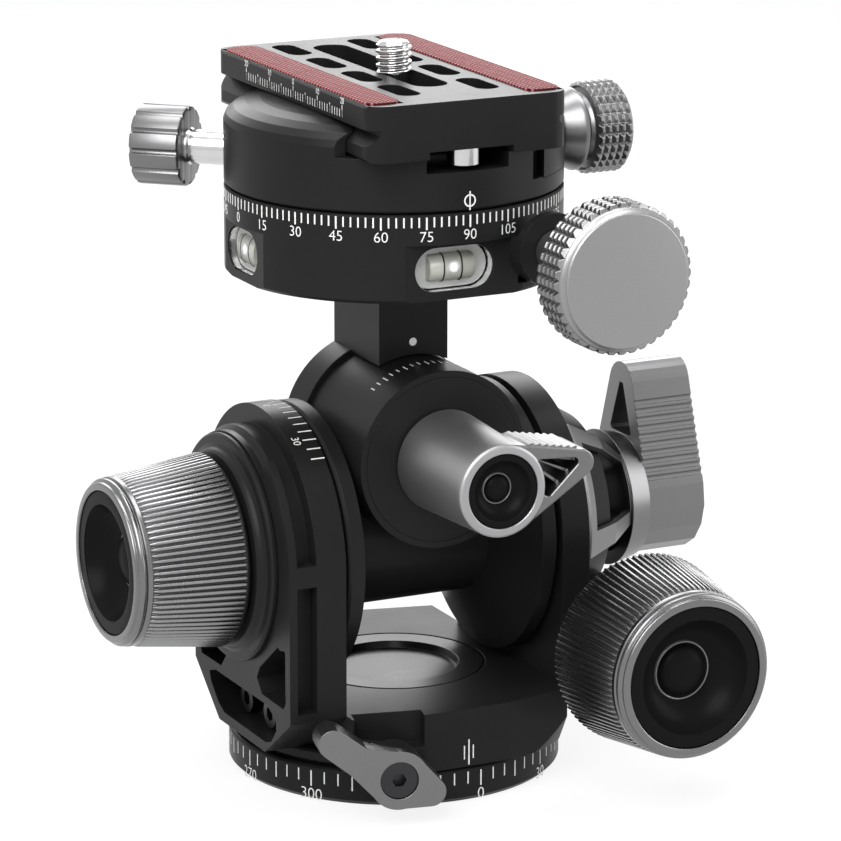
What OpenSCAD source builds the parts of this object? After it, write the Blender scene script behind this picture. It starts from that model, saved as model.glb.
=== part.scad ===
// Geared tripod head: two worm-driven tilt axes, a geared panning unit on top and a dovetail plate clamp.
// Millimetres. Origin: centre of the base's underside. +Z up, -Y towards the user, +X to the user's right.

/* [Base] */
// Diameter of the base ring and of the panning unit's rings
base_d = 60; // [56:1:66]
// Height of the base ring with its angle scale
base_ring_h = 6.3; // [5.5:0.1:8]
// Core diameter of the tripod thread (3/8 inch, 16 turns per inch)
tripod_core_d = 7.94; // [6:0.01:8.5]
// Depth of the tripod thread
tripod_depth = 12; // [8:0.5:13]
// Diameter of the spindle that the deck turns on
spindle_d = 26; // [22:0.5:28]
// Diameter of the cap that holds the deck down
cap_d = 32.6; // [30:0.2:36]
// Diameter of the dish in the cap
dish_d = 23.6; // [16:0.2:26]

/* [Yoke] */
// Height of the deck above the base ring
deck_h = 11; // [10:0.1:14]
// Distance between the two arms, and width of the deck
yoke_inner_w = 42.4; // [41:0.2:50]
// Thickness of an arm's plate
arm_plate_t = 5.4; // [4.5:0.1:7]
// Thickness of the ribbed layer outside the left arm
arm_rib_t = 5.4; // [4:0.1:7]
// Radius of the arms' round heads
arm_head_r = 25; // [24:0.2:28]
// Height of the pitch axis above the base's underside
pitch_axis_z = 43; // [43:0.5:50]
// Width of the pocket run up the left arm's front edge
edge_slot_w = 3.7; // [2:0.1:4]

/* [Gears] */
// Module of the worm gears
gear_module = 0.72; // [0.7:0.01:0.75]
// Teeth on the pitch and roll worm wheels
tilt_teeth = 36; // [34:1:38]
// Teeth on the panning worm wheel
pan_teeth = 30; // [28:1:32]
// Pitch radius of the worms
worm_r = 4.04; // [3.9:0.01:4.4]
// Face width of the worm wheels
wheel_w = 4.4; // [3:0.1:5]
// Length of the worms' threaded part
worm_len = 9; // [7:0.5:11]
// Diameter of the worms' shafts
worm_shaft_d = 5.2; // [4.6:0.1:5.6]

/* [Drive knobs] */
// Largest diameter of the two drive knobs
knob_d = 34.6; // [30:0.2:38]
// Diameter of their outer face
knob_face_d = 28.4; // [26:0.2:32]
// Length of the drive knobs
knob_len = 20.6; // [18:0.2:24]
// Number of ridges round each drive knob
knob_ridges = 90; // [60:2:100]
// Diameter of the black cap in each drive knob
knob_cap_d = 25.4; // [22:0.2:25.6]
// Distance from the head's axis to the drive knobs' backs
knob_reach = 35.4; // [35:0.2:40]

/* [Barrel] */
// Radius of the cross barrel
barrel_r = 13.2; // [12:0.1:15]
// Radius of the front cylinder that holds the roll gear
front_r = 16; // [15.6:0.1:18]
// Distance from the head's axis to the front cylinder's face
front_reach = 20; // [19:0.2:23]
// Distance from the head's axis to the front cylinder's back
front_back = 3.3; // [3.1:0.1:5]

/* [Clutch levers] */
// Diameter of the front lever's hub where it meets the barrel
cone_base_d = 18.4; // [17:0.2:20]
// Diameter of the front lever's outer face
cone_face_d = 16.2; // [15:0.2:18]
// Length of the front lever's hub
cone_len = 22.8; // [20:0.2:25]
// Reach of the front lever's handle from its axis
front_handle_r = 17.7; // [17:0.1:20]
// Distance from the head's axis to the side lever's handle
side_handle_x = 46.3; // [45:0.1:50]
// Thickness of the side lever's handle
side_handle_t = 11.8; // [10:0.2:14]
// Radius of the side lever's hub
side_hub_r = 10.9; // [10:0.1:12]
// Height of the side lever above its axis
side_handle_h = 25.2; // [22:0.2:27]

/* [Rotor and panning unit] */
// Thickness of the rotor disc behind the front cylinder
rotor_t = 7.1; // [6:0.1:9]
// Radius of the rotor disc
rotor_r = 16.8; // [16.5:0.1:18]
// Width of the stem
stem_w = 13.4; // [12:0.2:16]
// Distance the stem stands forward over the front cylinder
stem_front = 8; // [6:0.2:10]
// Height of the stem's top above the roll axis
stem_rise = 30.7; // [29:0.1:34]
// Height of the pan housing
pan_h = 15.5; // [15:0.1:18]
// Distance of the housing's front flat from its axis
front_flat = 27.8; // [27:0.1:29]
// Distance of the housing's left flat from its axis
side_flat = 28.9; // [28:0.1:29.4]
// Diameter of the panning knob
pan_knob_d = 26; // [22:0.2:27]
// Length of the panning knob
pan_knob_len = 9.7; // [8:0.1:12]
// Distance from the head's axis to the panning knob's back
pan_knob_reach = 49.4; // [49:0.1:54]

/* [Plate clamp] */
// Height of the clamp body up to its front shelf
clamp_h = 9.4; // [9.4:0.1:12]
// Height of the jaws above the shelf
jaw_h = 5.6; // [5.2:0.1:5.8]
// Reach of the jaws to the front and back
jaw_reach = 21; // [18:0.5:24]
// Diameter of the clamp knob
clamp_knob_d = 16.6; // [14:0.2:17]
// Length of the clamp knob's knurled part
clamp_knob_len = 7.4; // [5:0.2:7.6]
// Diameter of the pan lock knob
lock_knob_d = 14.4; // [12:0.2:14.4]
// Length of the pan lock knob
lock_knob_len = 9.2; // [7:0.2:9.6]
// Direction of the pan lock knob, counter-clockwise from the head's right
lock_knob_angle = 137.5; // [120:0.5:160]

/* [Plate] */
// Width of the quick release plate
plate_w = 38; // [37:0.1:39]
// Length of the plate
plate_len = 65.6; // [60:0.2:80]
// Distance of the plate's middle behind the head's axis
plate_shift = 2.2; // [0:0.1:4]
// Thickness of the plate
plate_t = 9.8; // [9.4:0.1:11]
// Thickness of the plate's upper flange
flange_t = 4.2; // [3.6:0.1:4.4]
// Width of the plate's slots
slot_w = 6.7; // [6.5:0.1:7]
// Diameter of the camera screw (1/4 inch, 20 turns per inch)
camera_screw_d = 6.35; // [6.35, 9.525]
// Height of the camera screw above the plate
camera_screw_h = 5.4; // [4:0.1:7]

/* [Hidden] */
// Running clearance of a shaft in its bore
run = 0.06;
// Gap between two pieces that move past each other
gap = 0.3;
// Clearance of a seated piece in its pocket
seat = 0.1;
base_r = base_d / 2;
spindle_r = spindle_d / 2;
cap_r = cap_d / 2;
deck_z = base_ring_h + gap;
deck_top = base_ring_h + deck_h;
arm_x = yoke_inner_w / 2;
arm_out = arm_x + arm_plate_t;
rib_out = arm_out + arm_rib_t;
arm_foot_z = deck_z + 2.4;

// Worm gears: pitch radii, centre distances and the tooth form
wheel_r = gear_module * tilt_teeth / 2;
pan_wheel_r = gear_module * pan_teeth / 2;
tilt_centres = wheel_r + worm_r;
pan_centres = pan_wheel_r + worm_r;
lead = PI * gear_module;
addendum = 0.83 * gear_module;
dedendum = 1.17 * gear_module;
tooth_t = 0.35 * lead;
flank = tan(20);
wheel_tip_r = wheel_r + addendum;
pan_wheel_tip_r = pan_wheel_r + addendum;
worm_tip_r = worm_r + addendum;
tunnel_r = worm_tip_r + 0.6;
shaft_r = worm_shaft_d / 2;
worm_sides = 20;
worm_rings = 8;
bush_r = tunnel_r - seat / 2;

// Heights and places of the axes
roll_axis_z = pitch_axis_z + tilt_centres;
pitch_worm_z = pitch_axis_z - tilt_centres;
pitch_gear_x = arm_out + wheel_w / 2 + 2.2;
pan_z = roll_axis_z + stem_rise;
pan_top = pan_z + pan_h;
pan_worm_z = pan_z + 7.9;
clamp_z = pan_top + gap;
shelf_z = clamp_z + clamp_h;
jaw_top = shelf_z + jaw_h;
plate_z = shelf_z + seat;
plate_top = plate_z + plate_t;
clamp_screw_z = clamp_z + 6;
lock_screw_z = clamp_z + 3.7;

// Drive knobs: where the ridges start and end, and the pocket for the cap
knob_knurl_z0 = 0.7;
knob_knurl_z1 = knob_len - 3.4;
knob_recess = 7;
ridge_depth = 0.35;

// Barrel and its bearings
flange_r = arm_head_r - 0.2;
flange_out = arm_x - 0.8;
flange_in = flange_out - 3;
left_trunnion_r = 12;
right_trunnion_r = 9;
left_trunnion_x = rib_out - 0.6;
wheel_seat_r = 6;
roll_shaft_r = 7;
gearbox_r = wheel_tip_r + 0.6;
front_disc_r = front_r - 1.2;
front_disc_t = 2.6;
rotor_y0 = front_back + gap;
rotor_y1 = rotor_y0 + rotor_t;
saddle_r = front_r + gap;
lever_stud_r = 3.9;

// Side housing of the pitch gear
housing_x = pitch_gear_x + wheel_w / 2 + 2;
housing_r0 = 21.5;
housing_r1 = 16.8;
worm_tube_r = 8.2;
worm_tube_y0 = -33;
worm_tube_y1 = 13;
clutch_hub_r = 9.8;

// Panning unit
neck_r = 12;
neck_top = clamp_z + 6;
pan_shaft_r = 6;
pan_boss_r = 6.5;
pan_boss_y = -base_r - 2.5;
flat_top = pan_z + 10.1;
front_level_x = -1.9;
side_level_y = 0.8;
level_z = pan_z + 5.4;
pan_neck_r = 3.6;
stem_flange_r = 17;
stem_flange_t = 2.4;
stem_flange_w = 18;
chamber_r = pan_wheel_tip_r + 0.5;

// Clamp and plate
half_plate = plate_w / 2;
jaw_x = 16.8;
jaw_floor_z = clamp_z + 3.3;
stop_slot_w = 15.6;
stop_slot_z = shelf_z - 2.6;
stop_head_r = 2.9;
stop_y = plate_len / 2 - 3.4;
plate_neck = half_plate - 2.1;
plate_y0 = plate_shift - plate_len / 2;
plate_y1 = plate_shift + plate_len / 2;
screw_neck_r = camera_screw_d / 2 - 0.3;

// Base lock on the deck's front left facet
facet_in = 8.3;
facet_y = 30.4;
facet_side_y = 27.3;
facet_angle = atan((facet_y - facet_side_y) / (arm_x - facet_in));
lock_z = deck_z + 1.9;
lock_mid = [-(arm_x + facet_in) / 2, -(facet_y + facet_side_y) / 2];
lock_bolt_r = 1.5;
arm_screw_places = [[-9, arm_foot_z + 5], [1, arm_foot_z + 5]];

$fn = 64;

black = "#1c1c1e";
soft_black = "#2a2a2c";
silver = "#9a9a9c";
steel = "#c8c8cc";

// ---------------------------------------------------------------- helpers

// A solid drawn in the Y-Z plane and run along X from x0 to x1
module run_x(x0, x1)
    translate([x0, 0, 0]) rotate([90, 0, 90]) linear_extrude(x1 - x0) children();

// A solid drawn in the X-Z plane and run along Y from y0 to y1
module run_y(y0, y1)
    translate([0, y1, 0]) rotate([90, 0, 0]) linear_extrude(y1 - y0) children();

// A round bar along X or along Y
module bar_x(x0, x1, r)
    translate([x0, 0, 0]) rotate([0, 90, 0]) cylinder(r = r, h = x1 - x0);

module bar_y(y0, y1, r)
    translate([0, y1, 0]) rotate([90, 0, 0]) cylinder(r = r, h = y1 - y0);

module ring(r_out, r_in, h)
    difference() {
        cylinder(r = r_out, h = h);
        translate([0, 0, -1]) cylinder(r = r_in, h = h + 2);
    }

// Places a piece drawn along +Z so that its +Z points to +X, to -X or to -Y.
// The side that faces a worm's wheel (local -X) then points to the wheel.
module towards_right() rotate([0, 90, 0]) children();

module towards_left() rotate([0, -90, 0]) rotate([0, 0, 180]) children();

module towards_front() rotate([90, 0, 0]) children();

// The outline round two circles and their outer tangents, for handles and lever arms
module link_2d(c1, r1, c2, r2) {
    d = c2 - c1;
    turn = atan2(d[1], d[0]);
    lean = acos((r1 - r2) / norm(d));
    ends = [[c1, r1, turn + lean, 360 - 2 * lean], [c2, r2, turn - lean, 2 * lean]];
    polygon([for (k = ends, t = [0 : 0.1 : 1])
        k[0] + k[1] * [cos(k[2] + t * k[3]), sin(k[2] + t * k[3])]]);
}

// ---------------------------------------------------------------- worm gears

function polar(r, a) = [r * cos(a), r * sin(a)];

// Half the angle that a tooth covers at a radius
function half_tooth(r, wheel) = (tooth_t / 2 - (r - wheel) * flank) / r * 180 / PI;

// The outline of a worm wheel, with the middle of a tooth gap at angle 0
module wheel_2d(teeth, wheel) {
    root = wheel - dedendum;
    tip = wheel + addendum;
    polygon([for (i = [0 : teeth - 1]) let (a = (i + 0.5) * 360 / teeth)
        each [polar(root, a - half_tooth(root, wheel)), polar(tip, a - half_tooth(tip, wheel)),
              polar(tip, a + half_tooth(tip, wheel)), polar(root, a + half_tooth(root, wheel))]]);
}

module worm_wheel(teeth, wheel, bore)
    difference() {
        translate([0, 0, -wheel_w / 2]) linear_extrude(wheel_w) wheel_2d(teeth, wheel);
        cylinder(r = bore, h = wheel_w + 2, center = true);
        for (side = [0, 1]) mirror([0, 0, side]) translate([0, 0, wheel_w / 2 - 0.6])
            ring(wheel - 2.2, bore + 1.6, 1);
    }

// Radius of the worm's surface at a height and an angle; a thread's crest faces -X at height 0
function thread_r(z, a) = let (
    turns = z / lead - (a - 180) / 360,
    off = abs(turns - round(turns)) * lead,
    rise = (tooth_t / 2 - off) / flank)
    worm_r + min(addendum, max(-dedendum, rise));

module worm_thread() {
    rows = round(worm_len / lead * worm_rings);
    step = worm_len / rows;
    root = worm_r - dedendum;
    points = [for (i = [0 : rows], j = [0 : worm_sides - 1])
        let (z = -worm_len / 2 + i * step, a = j * 360 / worm_sides,
             r = (i == 0 || i == rows) ? root : thread_r(z, a))
        [r * cos(a), r * sin(a), z]];
    function at(i, j) = i * worm_sides + j % worm_sides;
    sides = [for (i = [0 : rows - 1], j = [0 : worm_sides - 1])
        each [[at(i, j), at(i + 1, j), at(i + 1, j + 1)], [at(i, j), at(i + 1, j + 1), at(i, j + 1)]]];
    polyhedron(points, concat([[for (j = [0 : worm_sides - 1]) at(0, j)]], sides,
        [[for (j = [worm_sides - 1 : -1 : 0]) at(rows, j)]]));
}

// A worm with its shaft from z0 (far end) to z1 (the knob's end)
module worm(z0, z1) {
    worm_thread();
    translate([0, 0, z0]) cylinder(r = shaft_r, h = z1 - z0);
}

// ---------------------------------------------------------------- knobs

// A knurled drum whose surface is rows of small pyramids
module pyramid_drum(r, h, rows, around, depth) {
    rings = 2 * rows + 1;
    sides = 2 * around;
    points = [for (i = [0 : rings - 1], j = [0 : sides - 1])
        let (peak = i % 2 == 1 && j % 2 == 1, a = j * 360 / sides, q = peak ? r : r - depth)
        [q * cos(a), q * sin(a), i * h / (rings - 1)]];
    function at(i, j) = i * sides + j % sides;
    // Each quad is split from its peak corner, so that every facet of a pyramid is flat
    quads = [for (i = [0 : rings - 2], j = [0 : sides - 1])
        let (a = at(i, j), b = at(i + 1, j), c = at(i + 1, j + 1), d = at(i, j + 1))
        each (i + j) % 2 == 0 ? [[a, b, c], [a, c, d]] : [[a, b, d], [b, c, d]]];
    polyhedron(points, concat([[for (j = [0 : sides - 1]) at(0, j)]], quads,
        [[for (j = [sides - 1 : -1 : 0]) at(rings - 1, j)]]));
}

// Fluted drive knob along +Z, from its back at z = 0 to its face at z = knob_len
module drive_knob() {
    back_r = knob_d / 2;
    face_r = knob_face_d / 2;
    front_r0 = face_r + 0.9;
    difference() {
        union() {
            translate([0, 0, knob_knurl_z0])
                linear_extrude(knob_knurl_z1 - knob_knurl_z0, scale = front_r0 / back_r)
                    polygon([for (i = [0 : 2 * knob_ridges - 1])
                        polar(back_r - (i % 2) * ridge_depth, i * 180 / knob_ridges)]);
            rotate_extrude() polygon([
                [0, 0], [back_r - 1.2, 0], [back_r - 0.5, 0.4], [back_r - 0.5, knob_knurl_z0 + 0.2],
                [front_r0 - 1, knob_knurl_z1 - 0.3], [front_r0 - 0.4, knob_knurl_z1],
                [front_r0 - 0.2, knob_knurl_z1 + 0.5], [front_r0 - 0.4, knob_len - 1.4],
                [face_r, knob_len - 0.5], [face_r - 0.6, knob_len - 0.1], [face_r - 0.9, knob_len],
                [0, knob_len]]);
        }
        translate([0, 0, knob_len - knob_recess])
            cylinder(r = knob_cap_d / 2 + seat / 2, h = knob_recess + 1);
        translate([0, 0, -1]) cylinder(r = shaft_r + seat / 2, h = 9);
    }
}

// Black cap with a bowl and a domed middle, seated in the drive knob
module knob_cap() {
    cap = knob_cap_d / 2;
    bowl = cap - 2.4;
    dome = 5.1;
    floor_z = knob_len - 5;
    rotate_extrude() polygon(concat(
        [[0, knob_len - knob_recess], [cap, knob_len - knob_recess], [cap, knob_len - 0.5],
         [cap - 0.3, knob_len - 0.2], [bowl, knob_len - 0.2]],
        [for (t = [0.25 : 0.25 : 1])
            [bowl - (bowl - dome) * t, knob_len - 0.2 - (knob_len - 0.2 - floor_z) * sin(90 * t)]],
        [for (a = [0 : 15 : 90]) [dome * cos(a), floor_z + 1.9 * sin(a)]]));
}

// ---------------------------------------------------------------- base

module base_ring() color(black) difference() {
    rotate_extrude() polygon([
        [0, 0], [base_r - 0.8, 0], [base_r, 0.8], [base_r, base_ring_h - 0.4], [base_r - 0.4, base_ring_h],
        [spindle_r, base_ring_h], [spindle_r, deck_top - 3.2], [0, deck_top - 3.2]]);
    translate([0, 0, -1]) cylinder(r = tripod_core_d / 2, h = tripod_depth + 1);
    translate([0, 0, base_ring_h - 1]) ring(24, spindle_r + 2, 2);
}

module thrust_washer() color("#d8d4c8")
    translate([0, 0, base_ring_h - 1]) ring(24 - seat, spindle_r + 2 + seat, 1 + gap - run);

module spindle_cap() color(soft_black) translate([0, 0, deck_top - 3.2]) rotate_extrude() polygon([
    [0, 0], [cap_r, 0], [cap_r, 2.9], [cap_r - 0.3, 3.2], [dish_d / 2, 3.2],
    [dish_d / 2 - 0.5, 2], [0, 2]]);

// ---------------------------------------------------------------- yoke

module deck_outline() polygon([
    [-arm_x, -facet_side_y], [-facet_in, -facet_y], [facet_in, -facet_y], [arm_x, -facet_side_y],
    [arm_x, facet_side_y], [facet_in, facet_y], [-facet_in, facet_y], [-arm_x, facet_side_y]]);

// Places a piece on the axis of the base lock: local +Z points out of the left front facet
module lock_axis()
    translate([lock_mid[0], lock_mid[1], lock_z]) rotate([90, 0, -facet_angle]) children();

module deck() color(black) difference() {
    union() {
        translate([0, 0, deck_z]) rotate_extrude() polygon([
            [0, 0], [base_r - 1.2, 0], [base_r - 0.6, 0.6], [base_r - 0.6, 2],
            [base_r - 1, arm_foot_z - deck_z], [0, arm_foot_z - deck_z]]);
        // The corners are turned back towards the base
        intersection() {
            translate([0, 0, deck_z]) linear_extrude(deck_top - deck_z) deck_outline();
            translate([0, 0, deck_z]) rotate_extrude() polygon([
                [0, 0], [base_r + 2.2, 0], [base_r + 5, 6.2], [base_r + 9, deck_h], [0, deck_h]]);
        }
    }
    translate([0, 0, deck_z - 1]) cylinder(r = spindle_r + run, h = deck_h + 2);
    translate([0, 0, deck_top - 3.4]) cylinder(r = cap_r + gap, h = 4);
    // Pocket behind the lever, and the bore of the lock's bolt
    translate([0, 0, lock_z + 3]) linear_extrude(deck_top - lock_z) translate(lock_mid)
        rotate(-facet_angle) square([12.5, 6], center = true);
    lock_axis() translate([0, 0, -24]) cylinder(r = lock_bolt_r + run, h = 25);
    for (p = arm_screw_places) translate([0, p[0], p[1]]) {
        bar_x(-arm_x - 1, -arm_x + 4.2, 1.7);
        bar_x(arm_x - 4.2, arm_x + 1, 1.7);
    }
}

module lock_shoe() color("#b08d57") difference() {
    lock_axis() translate([0, 0, -22.5]) cylinder(r = lock_bolt_r, h = 8);
    cylinder(r = spindle_r + seat, h = 30);
}

// Side view of both arms: round head, straight front edge, and a foot cut back at both ends
module arm_outline() {
    translate([0, pitch_axis_z]) circle(arm_head_r);
    polygon([[-arm_head_r, pitch_axis_z], [-arm_head_r, arm_foot_z + 8.1], [-16.2, arm_foot_z + 1.5],
        [-14, arm_foot_z], [6, arm_foot_z], [16.6, arm_foot_z + 8.9], [16.6, arm_foot_z + 11.4],
        arm_head_r * [cos(-40), sin(-40)] + [0, pitch_axis_z], [0, pitch_axis_z]]);
}

module left_arm() color(black) difference() {
    edge_slot_x = -arm_out - 0.2;
    run_x(-rib_out, -arm_x) arm_outline();
    translate([0, 0, pitch_axis_z]) bar_x(-rib_out - 1, -arm_x + 1, left_trunnion_r + run);
    // Pockets between the foot's ribs
    run_x(-rib_out - 1, -arm_out) {
        polygon([[-21.2, 29.4], [-21.2, 19.3], [-12.9, 19.4], [-10.8, 21.8], [-12, 24], [-19.9, 30]]);
        polygon([[14.6, 28.2], [15.2, 21.9], [13.6, 19.3], [4.9, 19.4], [2.8, 21.8], [4, 24], [10.6, 29]]);
        polygon([[10.2, 17], [7.4, 17.9], [-15, 18], [-18.8, 16.4], [-19, 14.3], [-16.8, 11.7],
            [-14.4, 10.9], [3.7, 10.9], [6.4, 12.2], [9.6, 15.2]]);
    }
    run_x(-rib_out - 1, -rib_out + 0.8)
        polygon([[-23.9, 28.8], [-23.9, 21.8], [-22.2, 19.3], [-20.8, 19.3], [-20.8, 29.6], [-22.6, 30]]);
    // The ribbed layer's head stands back round the bearing cap
    translate([0, 0, pitch_axis_z]) towards_left() rotate([0, 0, 141.5]) rotate_extrude(angle = 110)
        polygon([[21.6, arm_out], [30, arm_out], [30, rib_out + 1], [20.7, rib_out + 1],
            [20.7, rib_out - 1.2], [21.6, rib_out - 2.2]]);
    // Groove up the front edge and round the head, with one rib across it
    translate([edge_slot_x - edge_slot_w, -arm_head_r - 1, 18.6]) cube([edge_slot_w, 4, 23]);
    translate([0, 0, pitch_axis_z]) towards_left() rotate([0, 0, 95.5]) rotate_extrude(angle = 46)
        translate([arm_head_r - 3, -edge_slot_x]) square([5, edge_slot_w]);
    for (p = arm_screw_places) translate([0, p[0], p[1]]) bar_x(-arm_out - 1, -arm_x + 1, 1.7);
}

module arm_screws() color("#3a3a3c") for (side = [-1, 1], p = arm_screw_places) translate([0, p[0], p[1]])
    rotate([0, 0, side < 0 ? 180 : 0]) difference() {
        union() {
            bar_x(arm_x - 4, arm_out + 1, 1.6);
            bar_x(arm_out, arm_out + 2.2, 2.6);
        }
        translate([arm_out + 1, 0, 0]) rotate([0, 90, 0]) cylinder(r = 1.4, h = 3, $fn = 6);
    }

module left_bearing_cap() color(black) translate([0, 0, pitch_axis_z]) difference() {
    towards_left() translate([0, 0, rib_out]) rotate_extrude() polygon([
        [0, 0], [20.2, 0], [20.4, 0.2], [20.4, 0.8], [20, 1.2], [18.7, 1.3], [18, 1.7], [17.6, 2.3],
        [17.2, 2.7], [0, 2.7]]);
    bar_x(-rib_out - 4, -rib_out + 1, shaft_r + 0.8);
}

module right_arm() color(black) difference() {
    union() {
        run_x(arm_x, arm_out) arm_outline();
        translate([0, 0, pitch_axis_z]) towards_right() rotate_extrude() polygon([
            [0, arm_out - 1], [housing_r0, arm_out - 1], [housing_r0, arm_out + 0.6],
            [housing_r1, housing_x], [0, housing_x]]);
        translate([pitch_gear_x, 0, pitch_worm_z]) bar_y(worm_tube_y0, worm_tube_y1, worm_tube_r);
        translate([arm_out - 1, -arm_head_r, pitch_worm_z - worm_tube_r])
            cube([pitch_gear_x - arm_out + 1, arm_head_r + worm_tube_y1, 2 * worm_tube_r]);
    }
    translate([0, 0, pitch_axis_z]) {
        bar_x(arm_x - 1, arm_out + 4, right_trunnion_r + run);
        bar_x(pitch_gear_x - wheel_w / 2 - 0.6, housing_x + 1, gearbox_r);
    }
    translate([pitch_gear_x, 0, pitch_worm_z]) {
        bar_y(worm_tube_y0 - 1, worm_len / 2 + 1.2, tunnel_r);
        bar_y(0, worm_tube_y1 - 1.6, shaft_r + run);
    }
    for (p = arm_screw_places) translate([0, p[0], p[1]]) bar_x(arm_x - 1, arm_out + 1, 1.7);
}

// Front bearing bush of the pitch worm, with its collar
module pitch_worm_bush() color(black) translate([pitch_gear_x, 0, pitch_worm_z]) difference() {
    union() {
        bar_y(worm_tube_y0, -worm_len / 2 - 3.2, bush_r);
        bar_y(worm_tube_y0 - 1.2, worm_tube_y0, worm_tube_r - 1);
    }
    bar_y(worm_tube_y0 - 2, 0, shaft_r + run);
}

module wheel_cover() color(black) difference() {
    translate([0, 0, pitch_axis_z]) difference() {
        bar_x(housing_x - 1.4, housing_x, gearbox_r - seat);
        bar_x(housing_x - 2, housing_x + 1, lever_stud_r + run);
    }
    translate([pitch_gear_x, 0, pitch_worm_z]) bar_y(-worm_tube_y1, worm_tube_y1, tunnel_r);
}

module pitch_clutch_hub() color(black) translate([0, 0, pitch_axis_z]) difference() {
    union() {
        bar_x(housing_x, housing_x + 0.9, gearbox_r - seat);
        bar_x(housing_x + 0.9, side_handle_x - gap, clutch_hub_r);
    }
    bar_x(housing_x - 1, side_handle_x + 1, lever_stud_r + run);
}

// ---------------------------------------------------------------- base lock

module base_lock_lever() color(silver) lock_axis() difference() {
    union() {
        translate([0, 0, 1.3]) cylinder(r = 5.3, h = 7);
        translate([0, 0, 2.7]) linear_extrude(5.6) {
            link_2d([0, 0], 5.2, [-6.8, 3.6], 2.7);
            link_2d([-6.8, 3.6], 2.7, [-11.7, 7.4], 2.6);
            link_2d([0, 0], 5.2, [5.7, -2.5], 2.6);
        }
    }
    cylinder(r = lock_bolt_r + seat / 2, h = 12);
    translate([0, 0, 5.7]) cylinder(r = 3.4, h = 6);
}

module base_lock_screw() color(black) lock_axis() difference() {
    union() {
        translate([0, 0, -14]) cylinder(r = lock_bolt_r, h = 19.8);
        translate([0, 0, 5.7]) cylinder(r = 3.3, h = 2.3);
    }
    translate([0, 0, 6.4]) cylinder(r = 1.3, h = 3, $fn = 6);
}

// ---------------------------------------------------------------- pitch drive

// Places a drive knob in front of the right arm, with local z = 0 at the knob's back
module pitch_knob_axis() translate([pitch_gear_x, -knob_reach, pitch_worm_z]) towards_front() children();

module pitch_knob() color(silver) pitch_knob_axis() drive_knob();

module pitch_knob_cap() color(black) pitch_knob_axis() knob_cap();

module pitch_worm() color(steel) translate([pitch_gear_x, 0, pitch_worm_z])
    towards_front() rotate([0, 0, -90]) worm(2 - worm_tube_y1, knob_reach + 7.9);

module pitch_worm_wheel() color("#b8923f") translate([pitch_gear_x, 0, pitch_axis_z])
    towards_right() worm_wheel(tilt_teeth, wheel_r, wheel_seat_r + seat / 2);

module pitch_wheel_nut() color(steel) translate([0, 0, pitch_axis_z]) difference() {
    bar_x(pitch_gear_x + wheel_w / 2, pitch_gear_x + wheel_w / 2 + 0.5, 7.4);
    bar_x(pitch_gear_x, pitch_gear_x + 9, 2);
}

module pitch_lever() color(silver) translate([0, 0, pitch_axis_z]) {
    x0 = arm_out + 0.7;
    x1 = side_handle_x;
    tip_r = 4.4;
    tip_z = side_handle_h - tip_r;
    lean = acos((side_hub_r - tip_r) / tip_z);
    // Skirt over the gear housing, with a window to the front
    difference() {
        towards_right() rotate([0, 0, 216]) rotate_extrude(angle = 64) polygon([
            [housing_r0 + 0.4, x0 + 0.5], [housing_r0 + 0.5, x0], [housing_r0 + 1.7, x0],
            [housing_r0 + 1.6, x0 + 0.8], [housing_r1 + 1.6, housing_x + 0.4], [12.2, x1 - 4.2],
            [11.5, x1 - 1.5], [10.9, x1 - 1.5], [10.9, x1 - 5],
            [15.9, housing_x + 1.2], [housing_r1 + 0.4, housing_x]]);
        towards_right() rotate([0, 0, 225]) rotate_extrude(angle = 43)
            translate([clutch_hub_r - 1, x0 + 2.4]) square([16, x1 - x0 - 7]);
    }
    towards_right() translate([0, 0, x1 - 4]) difference() {
        cylinder(r1 = 12.6, r2 = 11.6, h = 4.1);
        translate([0, 0, -1]) cylinder(r = clutch_hub_r + gap, h = 6);
    }
    difference() {
        union() {
            run_x(x1, x1 + side_handle_t) link_2d([0, 0], side_hub_r, [0, tip_z], tip_r);
            bar_x(housing_x - 1.4, x1 + 1, lever_stud_r);
        }
        // Triangular opening through the handle, and grooves across its front edge
        run_x(x1 - 1, x1 + side_handle_t + 1) {
            polygon([[0.5, side_handle_h - 3.8], [-0.7, side_handle_h - 3.9],
                [-3.9, 12.4], [-3.3, 11.8], [3.3, 11.8], [3.9, 12.4]]);
            for (i = [0 : 9]) rotate(90 + lean) translate([side_hub_r + 0.2, -2 - 1.55 * i]) circle(0.55);
        }
    }
}

// ---------------------------------------------------------------- barrel

module barrel() color(black) difference() {
    union() {
        translate([0, 0, pitch_axis_z]) towards_right() rotate_extrude() polygon([
            [0, -left_trunnion_x], [left_trunnion_r, -left_trunnion_x], [left_trunnion_r, -flange_out],
            [flange_r - 0.5, -flange_out], [flange_r, -flange_out + 0.5], [flange_r, -flange_in],
            [barrel_r, -flange_in + 5.1], [barrel_r, flange_in - 5.1], [flange_r, flange_in],
            [flange_r, flange_out - 0.5], [flange_r - 0.5, flange_out], [right_trunnion_r, flange_out],
            [right_trunnion_r, pitch_gear_x - wheel_w / 2], [wheel_seat_r, pitch_gear_x - wheel_w / 2],
            [wheel_seat_r, pitch_gear_x + wheel_w / 2], [0, pitch_gear_x + wheel_w / 2]]);
        translate([0, 0, roll_axis_z]) bar_y(-front_reach, front_back, front_r);
    }
    translate([0, 0, roll_axis_z]) {
        bar_y(-front_reach + 1, front_back + 1, gearbox_r);
        bar_y(-front_reach - 1, -front_reach + front_disc_t, front_disc_r + seat / 2);
        bar_y(front_back, 20, rotor_r + gap);
    }
    translate([0, 0, pitch_axis_z]) {
        bar_x(-left_trunnion_x - 1, worm_len / 2 + 1.2, tunnel_r);
        bar_x(0, 12, shaft_r + run);
    }
}

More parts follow.
